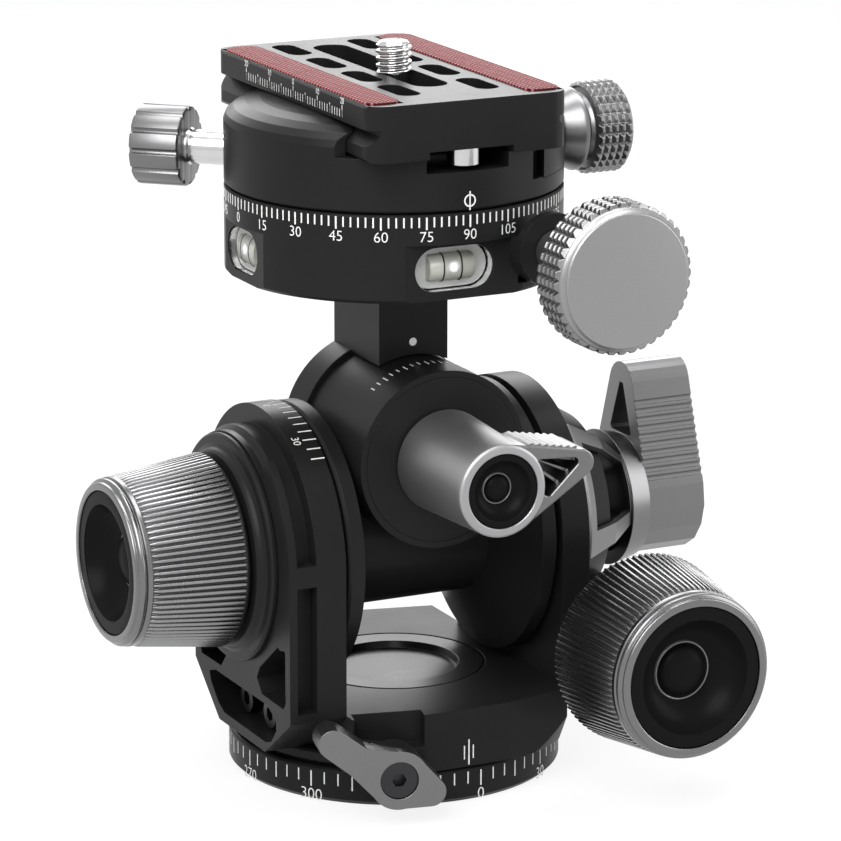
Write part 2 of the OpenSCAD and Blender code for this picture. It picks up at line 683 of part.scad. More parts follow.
module side_washers() color("#d8d4c8") translate([0, 0, pitch_axis_z]) for (side = [-1, 1])
    rotate([0, 0, side < 0 ? 180 : 0]) translate([flange_out, 0, 0]) rotate([0, 90, 0])
        ring(20, left_trunnion_r + gap, arm_x - flange_out - seat);

module front_disc() color(black) translate([0, 0, roll_axis_z]) difference() {
    bar_y(-front_reach, -front_reach + front_disc_t, front_disc_r);
    bar_y(-front_reach - 1, -front_reach + 4, lever_stud_r + run);
}

module roll_clutch_plate() color(steel) translate([0, 0, roll_axis_z])
    bar_y(-front_reach + 7.4, -front_reach + 10.2, gearbox_r - 1.2);

module roll_bearing_plate() color("#b8923f") translate([0, 0, roll_axis_z]) difference() {
    bar_y(-9, -5, gearbox_r - seat / 2);
    bar_y(-10, -4, roll_shaft_r + run);
}

module roll_worm_bush() color(black) translate([0, 0, pitch_axis_z]) difference() {
    bar_x(-left_trunnion_x + 0.2, -12, bush_r);
    bar_x(-left_trunnion_x - 1, -11, shaft_r + run);
}

// ---------------------------------------------------------------- roll drive

module roll_knob_axis() translate([-knob_reach, 0, pitch_axis_z]) towards_left() children();

module roll_knob() color(silver) roll_knob_axis() drive_knob();

module roll_knob_cap() color(black) roll_knob_axis() knob_cap();

module roll_worm() color(steel) translate([0, 0, pitch_axis_z]) towards_left() worm(-11.5, knob_reach + 7.9);

module roll_lever() color(silver) translate([0, 0, roll_axis_z]) difference() {
    y0 = front_reach + gap;
    y1 = front_reach + gap + cone_len;
    union() {
        towards_front() translate([0, 0, y0])
            cylinder(r1 = cone_base_d / 2, r2 = cone_face_d / 2, h = cone_len);
        bar_y(-y0 - 1, -front_reach + 6.6, lever_stud_r);
        run_y(-y1 + 0.4, -y1 + 10.4)
            link_2d([0, 0], cone_face_d / 2 + 0.1, [front_handle_r - 2.5, 3.2], 2.5);
    }
    bar_y(-y1 - 1, -y1 + 4, 6.6);
    // Pocket in the handle's front, and teeth along its top
    run_y(-y1 - 1, -y1 + 6.4) polygon([[6.9, 4.8], [14.8, 4.2], [15.1, 3.5], [8.9, -1.8], [8.4, -1.5]]);
    for (i = [0 : 6]) run_y(-y1 - 1, -y1 + 11) translate([5.4 + 1.38 * i, 7.65 - 0.24 * i]) circle(0.5);
}

module roll_lever_cap() color(black) translate([0, -front_reach - gap - cone_len, roll_axis_z])
    towards_front() translate([0, 0, -4]) rotate_extrude() polygon([
        [0, 0], [6.5, 0], [6.5, 3.6], [6.3, 3.8], [5.3, 3.8], [4.6, 2.2], [3.2, 1.3], [2.6, 1.2],
        [2.2, 2], [1.4, 2.4], [0, 2.5]]);

// ---------------------------------------------------------------- rotor

module rotor_stem() color(black) difference() {
    union() {
        translate([0, 0, roll_axis_z]) {
            bar_y(rotor_y0, rotor_y1, rotor_r);
            bar_y(-front_reach + 10.6, rotor_y0 + 1, roll_shaft_r);
        }
        translate([-stem_w / 2, -stem_front, roll_axis_z])
            cube([stem_w, stem_front + rotor_y1, stem_rise]);
        stem_flange(0);
    }
    // Saddle over the front cylinder, cut clear of the shaft
    difference() {
        translate([0, 0, roll_axis_z]) bar_y(-stem_front - 1, rotor_y0, saddle_r);
        translate([0, 0, roll_axis_z]) bar_y(-front_reach, rotor_y0 + 1, roll_shaft_r);
    }
    // Relief in the disc's front face for the worm
    translate([0, rotor_y0 + 1.7, roll_axis_z]) towards_front() rotate([0, 0, -150])
        rotate_extrude(angle = 120) translate([tilt_centres - worm_tip_r - 0.5, 0]) square([9, 3]);
    for (y = [-14, 14]) translate([0, y, pan_z - 1]) {
        cylinder(r = 1.7, h = 6);
        cylinder(r = 2.6, h = 2.4);
    }
}

// The stem's foot plate in the housing's underside, grown by a clearance
module stem_flange(grow) translate([0, 0, pan_z - 0.5]) intersection() {
    cylinder(r = stem_flange_r + grow, h = stem_flange_t + 0.5 + grow);
    union() {
        cylinder(r = chamber_r + 0.7 + grow, h = stem_flange_t + 0.5 + grow);
        translate([-stem_flange_w / 2 - grow, -30, 0]) cube([stem_flange_w + 2 * grow, 60, 9]);
    }
}

module rotor_cover() color(black) translate([0, 0, roll_axis_z]) bar_y(rotor_y1, rotor_y1 + 1.2, 13);

module roll_worm_wheel() color("#b8923f") translate([0, 0, roll_axis_z])
    towards_front() rotate([0, 0, -90]) worm_wheel(tilt_teeth, wheel_r, roll_shaft_r + seat / 2);

module stem_screws() color(steel) for (y = [-14, 14]) translate([0, y, pan_z]) difference() {
    union() {
        translate([0, 0, 0.2]) cylinder(r = 2.4, h = 1.2);
        translate([0, 0, 1]) cylinder(r = 1.6, h = 7);
    }
    translate([0, 0, -0.8]) cylinder(r = 1.2, h = 1.6, $fn = 6);
}

// ---------------------------------------------------------------- panning unit

module stadium(w, h) {
    square([w - h, h], center = true);
    for (side = [-1, 1]) translate([side * (w - h) / 2, 0]) circle(h / 2);
}

module pan_housing() color(black) difference() {
    union() {
        difference() {
            translate([0, 0, pan_z]) rotate_extrude() polygon([[0, 0], [base_r - 0.6, 0], [base_r, 0.6],
                [base_r, pan_h - 0.3], [base_r - 0.3, pan_h], [0, pan_h]]);
            // Flats for the two levels and the pocket of the panning drive, all below the scale's rim
            translate([-40, -front_flat - 10, pan_z - 1]) cube([80, 10, flat_top - pan_z + 1]);
            translate([-side_flat - 10, -40, pan_z - 1]) cube([10, 80, flat_top - pan_z + 1]);
            translate([10.4, -40, pan_z + 1.6]) cube([40, 16, flat_top - pan_z - 1.6]);
        }
        translate([0, 0, pan_z]) cylinder(r = neck_r, h = neck_top - pan_z);
        // Boss of the panning drive: a full collar only in front of the rim
        translate([pan_centres, 0, pan_worm_z]) bar_y(pan_boss_y, -base_r - 0.6, pan_boss_r);
        intersection() {
            translate([pan_centres, 0, pan_worm_z]) bar_y(-base_r - 2, -22, pan_boss_r);
            translate([0, -40, pan_z]) cube([40, 40, flat_top - pan_z]);
        }
    }
    translate([0, 0, pan_z - 1]) {
        cylinder(r = chamber_r, h = pan_worm_z + wheel_w / 2 + 0.8 - pan_z + 1);
        cylinder(r = pan_shaft_r + run, h = 40);
    }
    stem_flange(seat);
    translate([pan_centres, 0, pan_worm_z]) {
        bar_y(-worm_len / 2 - 1.2, 40, tunnel_r);
        bar_y(-40, 0, shaft_r + run);
    }
    translate([front_level_x, -front_flat + 4, level_z]) rotate([90, 0, 0])
        linear_extrude(10) stadium(15, 7.8);
    translate([-side_flat - 1, side_level_y, level_z]) rotate([90, 0, 90])
        linear_extrude(5) stadium(12.6, 7.8);
    for (y = [-14, 14]) translate([0, y, pan_z]) cylinder(r = 1.7, h = 9);
}

module front_level() color("#cfd6a0")
    translate([front_level_x, -front_flat + 4, level_z]) rotate([90, 0, 0])
        linear_extrude(3.7) stadium(15 - seat, 7.8 - seat);

module side_level() color("#cfd6a0")
    translate([-side_flat + 0.3, side_level_y, level_z]) rotate([90, 0, 90])
        linear_extrude(3.7) stadium(12.6 - seat, 7.8 - seat);

// Closed bearing bush behind the panning worm
module pan_worm_bush() color(black) translate([pan_centres, 0, pan_worm_z]) difference() {
    bar_y(worm_len / 2 + 2.5, 22, bush_r);
    bar_y(0, 14.4, shaft_r + run);
}

module pan_knob() color(silver) translate([pan_centres, 0, pan_worm_z]) difference() {
    union() {
        bar_y(-pan_knob_reach - 1, pan_boss_y - gap, pan_neck_r);
        translate([0, -pan_knob_reach, 0]) towards_front() {
            translate([0, 0, 1]) pyramid_drum(pan_knob_d / 2, pan_knob_len - 2, 5, 40, 0.7);
            rotate_extrude() polygon([
                [0, 0], [pan_knob_d / 2 - 1.6, 0], [pan_knob_d / 2 - 0.9, 0.7], [pan_knob_d / 2 - 0.9, 1.1],
                [pan_knob_d / 2 - 1.4, 2], [pan_knob_d / 2 - 1.4, pan_knob_len - 2],
                [pan_knob_d / 2 - 0.9, pan_knob_len - 1.1], [pan_knob_d / 2 - 0.9, pan_knob_len - 0.7],
                [pan_knob_d / 2 - 1.6, pan_knob_len], [0, pan_knob_len]]);
        }
    }
    bar_y(-pan_knob_reach - 6, 0, shaft_r + seat / 2);
}

module pan_worm() color(steel) translate([pan_centres, 0, pan_worm_z])
    towards_front() worm(-14, pan_knob_reach + 5.9);

// ---------------------------------------------------------------- plate clamp

module clamp_round() rotate_extrude() polygon(concat(
    [[0, clamp_z], [base_r - 0.4, clamp_z], [base_r, clamp_z + 0.4]],
    [for (a = [0 : 18 : 90]) [20.5 + (base_r - 20.5) * cos(a), shelf_z + 1.7 + (jaw_h - 1.7) * sin(a)]],
    [[0, jaw_top]]));

// The clamp's channel for the plate, with its clearance, and the shelves before and behind the jaws
module clamp_channel() {
    w = half_plate + 0.2;
    neck = plate_neck + 0.2;
    run_y(-40, 40) polygon([[-w, shelf_z], [w, shelf_z], [w, shelf_z + 2.8], [neck, shelf_z + 4.9],
        [neck, jaw_top + 1], [-neck, jaw_top + 1], [-neck, shelf_z + 4.9], [-w, shelf_z + 2.8]]);
    for (side = [0, 180]) rotate([0, 0, side]) translate([-40, jaw_reach, shelf_z]) cube([80, 20, 20]);
}

// Places a piece on the pan lock's axis: local +Z points out of the clamp
module pan_lock_axis()
    translate([0, 0, lock_screw_z]) rotate([0, 0, lock_knob_angle]) rotate([0, 90, 0]) children();

module clamp_body() color(black) difference() {
    clamp_round();
    clamp_channel();
    translate([jaw_x - gap, -40, jaw_floor_z - seat]) cube([40, 80, 40]);
    translate([0, 0, clamp_z - 1]) {
        cylinder(r = neck_r + run, h = 12);
        translate([0, 0, neck_top + gap - clamp_z + 1]) cylinder(r = neck_r + 1 + seat / 2, h = 9);
    }
    for (side = [0, 180]) rotate([0, 0, side])
        translate([-stop_slot_w / 2, -40, stop_slot_z]) cube([stop_slot_w, 26, 20]);
    translate([13.7, -40, jaw_floor_z + 0.2]) cube([4, 17, 5]);
    translate([0, 0, clamp_screw_z]) bar_x(13, 40, 3 + run);
    for (y = [-9, 9]) translate([0, y, clamp_z + 4.5]) bar_x(10, 27, 1.5 + run);
    pan_lock_axis() translate([0, 0, 11]) cylinder(r = 3.1 + run, h = 25);
}

module pan_spindle() color(steel) {
    translate([0, 0, neck_top + gap]) cylinder(r = neck_r + 1, h = shelf_z - neck_top - gap - 0.2);
    translate([0, 0, pan_worm_z - wheel_w / 2 - 2])
        cylinder(r = pan_shaft_r, h = neck_top + gap - pan_worm_z + 4.5);
}

module pan_worm_wheel() color("#b8923f") translate([0, 0, pan_worm_z])
    worm_wheel(pan_teeth, pan_wheel_r, pan_shaft_r + seat / 2);

module pan_nut() color(steel) translate([0, 0, pan_worm_z - wheel_w / 2 - 2])
    ring(8, pan_shaft_r + seat / 2, 2);

module lock_pad() color("#b8923f") difference() {
    pan_lock_axis() translate([0, 0, 11]) cylinder(r = 3.1, h = 4);
    translate([0, 0, clamp_z]) cylinder(r = neck_r + 2 * run, h = 9);
    translate([0, 0, neck_top]) cylinder(r = neck_r + 1 + gap, h = 9);
}

module pan_lock_knob() color(silver) pan_lock_axis() {
    translate([0, 0, 15.2]) cylinder(r = 3.1, h = 23.8);
    translate([0, 0, 38]) difference() {
        rotate_extrude() polygon([[0, 0], [lock_knob_d / 2 - 0.7, 0], [lock_knob_d / 2, 0.7],
            [lock_knob_d / 2, lock_knob_len - 0.8], [lock_knob_d / 2 - 0.8, lock_knob_len],
            [0, lock_knob_len]]);
        for (a = [0 : 30 : 330]) rotate([0, 0, a]) translate([lock_knob_d / 2 + 0.5, 0, 1.2])
            cylinder(r = 1, h = lock_knob_len);
    }
}

module clamp_jaw() color(black) difference() {
    intersection() {
        clamp_round();
        translate([jaw_x, -40, jaw_floor_z]) cube([40, 80, 40]);
    }
    clamp_channel();
    translate([0, 0, clamp_screw_z]) bar_x(10, 40, 3 + run);
    for (y = [-9, 9]) translate([0, y, clamp_z + 4.5]) bar_x(10, 23, 1.5 + seat / 2);
}

module jaw_pins() color(steel) for (y = [-9, 9]) translate([0, y, clamp_z + 4.5]) bar_x(11, 22.8, 1.5);

module clamp_knob() color(silver) translate([0, 0, clamp_screw_z]) difference() {
    union() {
        towards_right() rotate_extrude() polygon([
            [0, 30.9], [5.4, 30.9], [6.2, 31.4], [7.4, 34.6], [7.4, 35.2], [6.6, 35.9], [6.6, 37],
            [clamp_knob_d / 2 - 0.9, 37.6], [clamp_knob_d / 2 - 0.9, 36.6 + clamp_knob_len],
            [clamp_knob_d / 2 - 1.4, 37 + clamp_knob_len], [0, 37 + clamp_knob_len]]);
        translate([36.8, 0, 0]) towards_right()
            pyramid_drum(clamp_knob_d / 2, clamp_knob_len - 0.4, 5, 26, 0.6);
    }
    bar_x(30, 38, 3 + seat / 2);
}

module clamp_screw() color(steel) translate([0, 0, clamp_screw_z]) bar_x(13.3, 37.9, 3);

// ---------------------------------------------------------------- plate

// A slot along Y from y0 to y1
module slot_2d(y0, y1, w) translate([0, (y0 + y1) / 2]) rotate(90) stadium(y1 - y0, w);

module quick_release_plate() color(black) difference() {
    intersection() {
        run_y(plate_y0, plate_y1) polygon([for (side = [1, -1]) each
            [for (q = side > 0 ? plate_half() : reverse(plate_half())) [side * q[0], q[1]]]]);
        translate([0, 0, plate_z - 1]) linear_extrude(plate_t + 2) union() {
            translate([-half_plate, plate_y0 + 3.5]) square([plate_w, plate_len - 7]);
            translate([3.5 - half_plate, plate_y0]) square([plate_w - 7, plate_len]);
            for (x = [3.5 - half_plate, half_plate - 3.5], y = [plate_y0 + 3.5, plate_y1 - 3.5])
                translate([x, y]) circle(3.5);
        }
    }
    translate([0, 0, plate_z - 1]) linear_extrude(plate_t + 2) slot_2d(-17, 29, slot_w);
    translate([0, 0, plate_z - 1]) linear_extrude(4) slot_2d(-18.1, 29.6, 12);
    for (side = [-1, 1], i = [0 : 3]) translate([side * 7.5, -17.5 + 14.7 * i, plate_top - 5])
        linear_extrude(9) slot_2d(-5.6, 5.6, 4.4);
    // Notches under both ends for the stop screws
    translate([-8, plate_y0 - 1, plate_z - 1]) cube([16, 9, 2.3]);
    translate([-8, plate_y1 - 8, plate_z - 1]) cube([16, 9, 2.3]);
    for (y = [plate_shift - stop_y, plate_shift + stop_y]) translate([0, y, plate_z])
        cylinder(r = 1.6, h = 5);
    for (side = [-1, 1]) translate([side * 15.2, plate_shift, plate_top - 0.5])
        linear_extrude(2) square([6.6, plate_len - 4], center = true);
}

function plate_half() = [[half_plate - 0.7, plate_z], [half_plate, plate_z + 0.7],
    [half_plate, plate_z + 2.6], [plate_neck, plate_z + 4.7], [plate_neck, plate_top - flange_t],
    [half_plate, plate_top - flange_t], [half_plate, plate_top - 0.5], [half_plate - 0.5, plate_top]];

function reverse(list) = [for (i = [len(list) - 1 : -1 : 0]) list[i]];

module plate_pads() color("#8c1f1f") for (side = [-1, 1])
    translate([side * 15.2, plate_shift, plate_top - 0.5])
        linear_extrude(0.8) square([6.6 - seat, plate_len - 4 - seat], center = true);

module stop_screws() color(steel) for (y = [plate_shift - stop_y, plate_shift + stop_y])
    translate([0, y, 0]) difference() {
        union() {
            translate([0, 0, plate_z - 1.7]) cylinder(r = stop_head_r, h = 3);
            translate([0, 0, plate_z]) cylinder(r = 1.55, h = 4.9);
        }
        translate([0, 0, plate_z - 2]) cylinder(r = 1.2, h = 1.6, $fn = 6);
    }

module screw_washer() color(steel) translate([0, 0, plate_z + 2]) ring(5.7, screw_neck_r + run, 0.9);

module camera_screw() color(steel) difference() {
    union() {
        translate([0, 0, plate_z + 0.2]) cylinder(r = 5.5, h = 1.7);
        translate([0, 0, plate_z + 0.2]) cylinder(r = screw_neck_r, h = plate_t);
        translate([0, 0, plate_top]) cylinder(r = camera_screw_d / 2, h = camera_screw_h);
    }
    translate([-0.7, -6, plate_z - 1]) cube([1.4, 12, 2]);
}

base_ring();
thrust_washer();
spindle_cap();
deck();
left_arm();
right_arm();
arm_screws();
left_bearing_cap();
pitch_worm_bush();
wheel_cover();
pitch_clutch_hub();
lock_shoe();
base_lock_lever();
base_lock_screw();
pitch_knob();
pitch_knob_cap();
pitch_worm();
pitch_lever();
barrel();
side_washers();
front_disc();
roll_bearing_plate();
roll_clutch_plate();
roll_worm_bush();
pitch_worm_wheel();
pitch_wheel_nut();
roll_knob();
roll_knob_cap();
roll_worm();
roll_lever();
roll_lever_cap();
rotor_stem();
rotor_cover();
roll_worm_wheel();
stem_screws();
pan_housing();
front_level();
side_level();
pan_worm_bush();
pan_knob();
pan_worm();
clamp_body();
pan_spindle();
pan_worm_wheel();
pan_nut();
lock_pad();
pan_lock_knob();
clamp_jaw();
jaw_pins();
clamp_knob();
clamp_screw();
quick_release_plate();
plate_pads();
stop_screws();
screw_washer();
camera_screw();
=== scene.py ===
"""Looks of a geared tripod head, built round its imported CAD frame.

Shapes are drawn in millimetres and finished in metres.
"""

import math

import bmesh
import bpy
from mathutils import Matrix, Vector


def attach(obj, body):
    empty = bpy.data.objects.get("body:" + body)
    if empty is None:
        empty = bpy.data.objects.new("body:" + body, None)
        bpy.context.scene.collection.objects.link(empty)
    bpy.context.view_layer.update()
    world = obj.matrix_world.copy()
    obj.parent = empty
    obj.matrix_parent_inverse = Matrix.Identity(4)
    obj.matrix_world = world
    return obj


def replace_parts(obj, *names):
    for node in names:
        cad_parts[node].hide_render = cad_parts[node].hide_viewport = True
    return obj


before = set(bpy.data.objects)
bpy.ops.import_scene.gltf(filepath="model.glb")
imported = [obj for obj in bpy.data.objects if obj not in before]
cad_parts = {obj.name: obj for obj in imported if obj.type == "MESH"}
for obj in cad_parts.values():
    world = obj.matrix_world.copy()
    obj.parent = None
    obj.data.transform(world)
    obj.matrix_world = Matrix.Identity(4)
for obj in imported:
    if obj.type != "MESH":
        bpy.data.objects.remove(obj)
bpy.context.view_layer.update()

bl_info = {
    "name": "Geared Tripod Head",
    "version": (1, 0, 0),
    "blender": (4, 5, 0),
    "location": "View3D > Sidebar > Head",
    "description": "Knobs, levers, scales and finishes of a geared tripod head",
    "category": "Object",
}

MM = 0.001
BASE_R = 30.0
ARM_R = 25.0
PITCH_Z = 43.0
ROLL_Z = 60.0
FRONT_R = 16.0
CLAMP_SCREW_Z = 112.5
LOCK_Z = 110.2
LOCK_TURN = 137.5
LEVEL_Z = 96.1
PITCH_KNOB = (31.0, -35.4, 26.0)
ROLL_KNOB = (-35.4, 0.0, 43.0)
PAN_KNOB = (14.84, -49.4, 98.6)
PRINT_SINK = 0.02


class HeadSizes(bpy.types.PropertyGroup):
    """Sizes of the dressed pieces."""

    ridges: bpy.props.IntProperty(
        name="Ridges", description="Ridges round each drive knob", default=90, min=60, max=120)
    ridge_depth: bpy.props.FloatProperty(
        name="Ridge depth", description="Depth of the drive knobs' grooves", default=0.6 * MM,
        min=0.0002, max=0.001, precision=5, unit="LENGTH", subtype="DISTANCE")
    knurl_rows: bpy.props.IntProperty(
        name="Knurl rows", description="Rows of points on a knurled knob", default=5, min=3, max=8)
    knurl_height: bpy.props.FloatProperty(
        name="Knurl height", description="Height of a knurled knob's points", default=0.75 * MM,
        min=0.0003, max=0.0012, precision=5, unit="LENGTH", subtype="DISTANCE")
    thread_pitch: bpy.props.FloatProperty(
        name="Thread pitch", description="Pitch of the camera screw", default=1.27 * MM,
        min=0.0008, max=0.002, precision=5, unit="LENGTH", subtype="DISTANCE")
    print_height: bpy.props.FloatProperty(
        name="Print height", description="How far the printed scales stand off the metal", default=0.03 * MM,
        min=0.00001, max=0.0001, precision=6, unit="LENGTH", subtype="DISTANCE")


class HeadColours(bpy.types.PropertyGroup):
    """Colours of the finishes."""

    black: bpy.props.FloatVectorProperty(
        name="Black metal", description="Black anodised metal",
        default=(0.009, 0.009, 0.0095), size=3, subtype="COLOR")
    silver: bpy.props.FloatVectorProperty(
        name="Silver metal", description="Grey anodised metal",
        default=(0.18, 0.18, 0.183), size=3, subtype="COLOR")
    pad: bpy.props.FloatVectorProperty(
        name="Pad", description="Rubber strips on the plate",
        default=(0.2, 0.022, 0.024), size=3, subtype="COLOR")
    print_white: bpy.props.FloatVectorProperty(
        name="Print", description="Printed scales",
        default=(0.62, 0.62, 0.61), size=3, subtype="COLOR")


# ------------------------------------------------------------------ finishes

class Wire:
    """A socket of a finish, so that shader maths reads as plain arithmetic."""

    def __init__(self, finish, socket):
        self.finish = finish
        self.socket = socket

    def maths(self, operation, *values):
        return self.finish.node("ShaderNodeMath", {"operation": operation}, dict(enumerate(values)))

    def __add__(self, other):
        return self.maths("ADD", self, other)

    def __sub__(self, other):
        return self.maths("SUBTRACT", self, other)

    def __rsub__(self, other):
        return self.maths("SUBTRACT", other, self)

    def __mul__(self, other):
        return self.maths("MULTIPLY", self, other)

    __radd__ = __add__
    __rmul__ = __mul__

    def sine(self):
        return self.maths("SINE", self)

    def between(self, low, high):
        """Runs from 0 at low to 1 at high."""
        return self.finish.node("ShaderNodeMapRange", {"interpolation_type": "SMOOTHSTEP"},
                                {"Value": self, "From Min": low, "From Max": high})


class Finish:
    """One material, and the one way that its nodes are made."""

    def __init__(self, name):
        self.material = bpy.data.materials.new(name)
        self.material.use_nodes = True
        self.tree = self.material.node_tree
        self.tree.nodes.clear()
        self.place = self.node("ShaderNodeTexCoord", out="Object")

    def node(self, kind, settings=None, inputs=None, out=0):
        node = self.tree.nodes.new(kind)
        for key, value in (settings or {}).items():
            setattr(node, key, value)
        for key, value in (inputs or {}).items():
            if isinstance(value, Wire):
                self.tree.links.new(value.socket, node.inputs[key])
            else:
                node.inputs[key].default_value = value
        return Wire(self, node.outputs[out]) if len(node.outputs) else None

    def grain(self, scale, detail=2.0):
        """Noise from 0 to 1, with its cells scale to the metre."""
        return self.node("ShaderNodeTexNoise", None,
                         {"Vector": self.place, "Scale": scale, "Detail": detail, "Roughness": 0.6})

    def mix(self, factor, first, second):
        return self.node("ShaderNodeMix", {"data_type": "RGBA"}, {0: factor, 6: first, 7: second}, out=2)

    def from_axis(self, origin, along):
        """Distance in metres from an axis through origin (mm)."""
        away = self.node("ShaderNodeVectorMath", {"operation": "SUBTRACT"},
                         {0: self.place, 1: tuple(v * MM for v in origin)})
        flat = self.node("ShaderNodeVectorMath", {"operation": "CROSS_PRODUCT"}, {0: away, 1: along})
        return self.node("ShaderNodeVectorMath", {"operation": "LENGTH"}, {0: flat}, out="Value")

    def dress(self, colour, roughness, bump=None, depth=0.0, edge=0.22, **fixed):
        """Ends the finish in one Principled shader. Edges read as slightly rounded."""
        normal = self.node("ShaderNodeBevel", {"samples": 4}, {"Radius": edge * MM}) if edge else None
        if bump:
            inputs = {"Height": bump, "Distance": depth * MM, "Strength": 1.0}
            if normal:
                inputs["Normal"] = normal
            normal = self.node("ShaderNodeBump", None, inputs)
        inputs = {"Base Color": colour, "Roughness": roughness}
        if normal:
            inputs["Normal"] = normal
        inputs.update(fixed)
        shader = self.node("ShaderNodeBsdfPrincipled", None, inputs)
        self.node("ShaderNodeOutputMaterial", None, {"Surface": shader})
        return self.material


def rgba(colour, gain=1.0):
    return tuple(c * gain for c in colour) + (1.0,)


def black_anodised(name, colour, level=0.12, rough=0.36, grain=0.006):
    """Bead-blasted black aluminium: near-black, satin, with a fine even grain."""
    finish = Finish(name)
    fine = finish.grain(3200, 1.0)
    broad = finish.grain(90, 3.0)
    tone = finish.mix(fine * 0.5 + broad * 0.5, rgba(colour, 0.75), rgba(colour, 1.3))
    return finish.dress(tone, rough + (broad - 0.5) * 0.1 + (fine - 0.5) * 0.08, fine, grain,
                        **{"Specular IOR Level": level, "IOR": 1.45})


def silver_anodised(name, colour, rough=0.33, grain=0.005, gain=1.0):
    """Grey anodised aluminium with a fine blasted grain."""
    finish = Finish(name)
    fine = finish.grain(3600, 1.0)
    broad = finish.grain(70, 3.0)
    tone = finish.mix(fine * 0.6 + broad * 0.4, rgba(colour, 0.86 * gain), rgba(colour, 1.12 * gain))
    return finish.dress(tone, rough + (broad - 0.5) * 0.08 + (fine - 0.5) * 0.06, fine, grain, Metallic=1.0)


def turned_silver(name, colour, origin, along, rough, gain=1.0):
    """Grey anodised aluminium with the fine rings that a lathe leaves round its axis."""
    finish = Finish(name)
    away = finish.from_axis(origin, along)
    rings = (away * 42000).sine() * 0.5 + 0.5
    fine = finish.grain(3600, 1.0)
    tone = finish.mix(rings * 0.35 + fine * 0.65, rgba(colour, 0.88 * gain), rgba(colour, 1.1 * gain))
    return finish.dress(tone, rough + (fine - 0.5) * 0.08, rings * 0.5 + fine * 0.5, 0.004, Metallic=1.0)


def plain_metal(name, colour, rough, mottling=0.15, edge=0.15):
    """Steel, plated steel or bronze with faint handling marks."""
    finish = Finish(name)
    broad = finish.grain(160, 4.0)
    fine = finish.grain(2600, 1.0)
    tone = finish.mix(broad, rgba(colour, 1 - mottling), rgba(colour, 1 + mottling * 0.5))
    return finish.dress(tone, rough + (broad - 0.5) * 0.12, fine, 0.003, edge, Metallic=1.0)


def gloss_black(name, colour):
    """Smooth black caps: a deep black under a soft clear skin."""
    finish = Finish(name)
    broad = finish.grain(120, 2.0)
    return finish.dress(rgba(colour, 0.6), 0.34 + (broad - 0.5) * 0.05, finish.grain(2000, 1.0), 0.002, 0.1,
                        **{"Specular IOR Level": 0.04, "IOR": 1.45})


def white_print(name, colour):
    finish = Finish(name)
    worn = finish.grain(900, 3.0)
    tone = finish.mix(worn, rgba(colour, 0.85), rgba(colour, 1.08))
    return finish.dress(tone, 0.55 + (worn - 0.5) * 0.1, None, 0, 0, **{"Specular IOR Level": 0.2})


def pad_rubber(name, colour):
    """Red rubber moulded with a close lattice of small lozenges."""
    finish = Finish(name)
    across = finish.node("ShaderNodeSeparateXYZ", None, {0: finish.place})
    along = Wire(finish, across.socket.node.outputs[1])
    turn = math.pi / (0.78 * MM)
    first = ((across + along * 0.7) * turn).sine()
    second = ((across - along * 0.7) * turn).sine()
    lattice = (first * second) * 0.5 + 0.5
    speck = finish.grain(1400, 2.0)
    line = rgba(tuple(c * g for c, g in zip(colour, (1.7, 5.0, 4.8))))
    tone = finish.mix(lattice.between(0.4, 0.9), rgba(colour, 0.2), line)
    return finish.dress(tone, 0.62 + (speck - 0.5) * 0.15, lattice, 0.12, 0, **{"Specular IOR Level": 0.06})


def clear_acrylic(name):
    finish = Finish(name)
    haze = finish.grain(300, 2.0)
    return finish.dress((0.97, 0.98, 0.97, 1.0), 0.03 + haze * 0.03, None, 0, 0.15,
                        **{"Transmission Weight": 1.0, "IOR": 1.3})


def plain_skin(name, colour, rough, grain=0.004):
    """Plastics and paint: an even colour with a slight skin."""
    finish = Finish(name)
    fine = finish.grain(1800, 2.0)
    tone = finish.mix(fine, rgba(colour, 0.9), rgba(colour, 1.06))
    return finish.dress(tone, rough + (fine - 0.5) * 0.1, fine, grain, 0.15)


FINISHES = {}


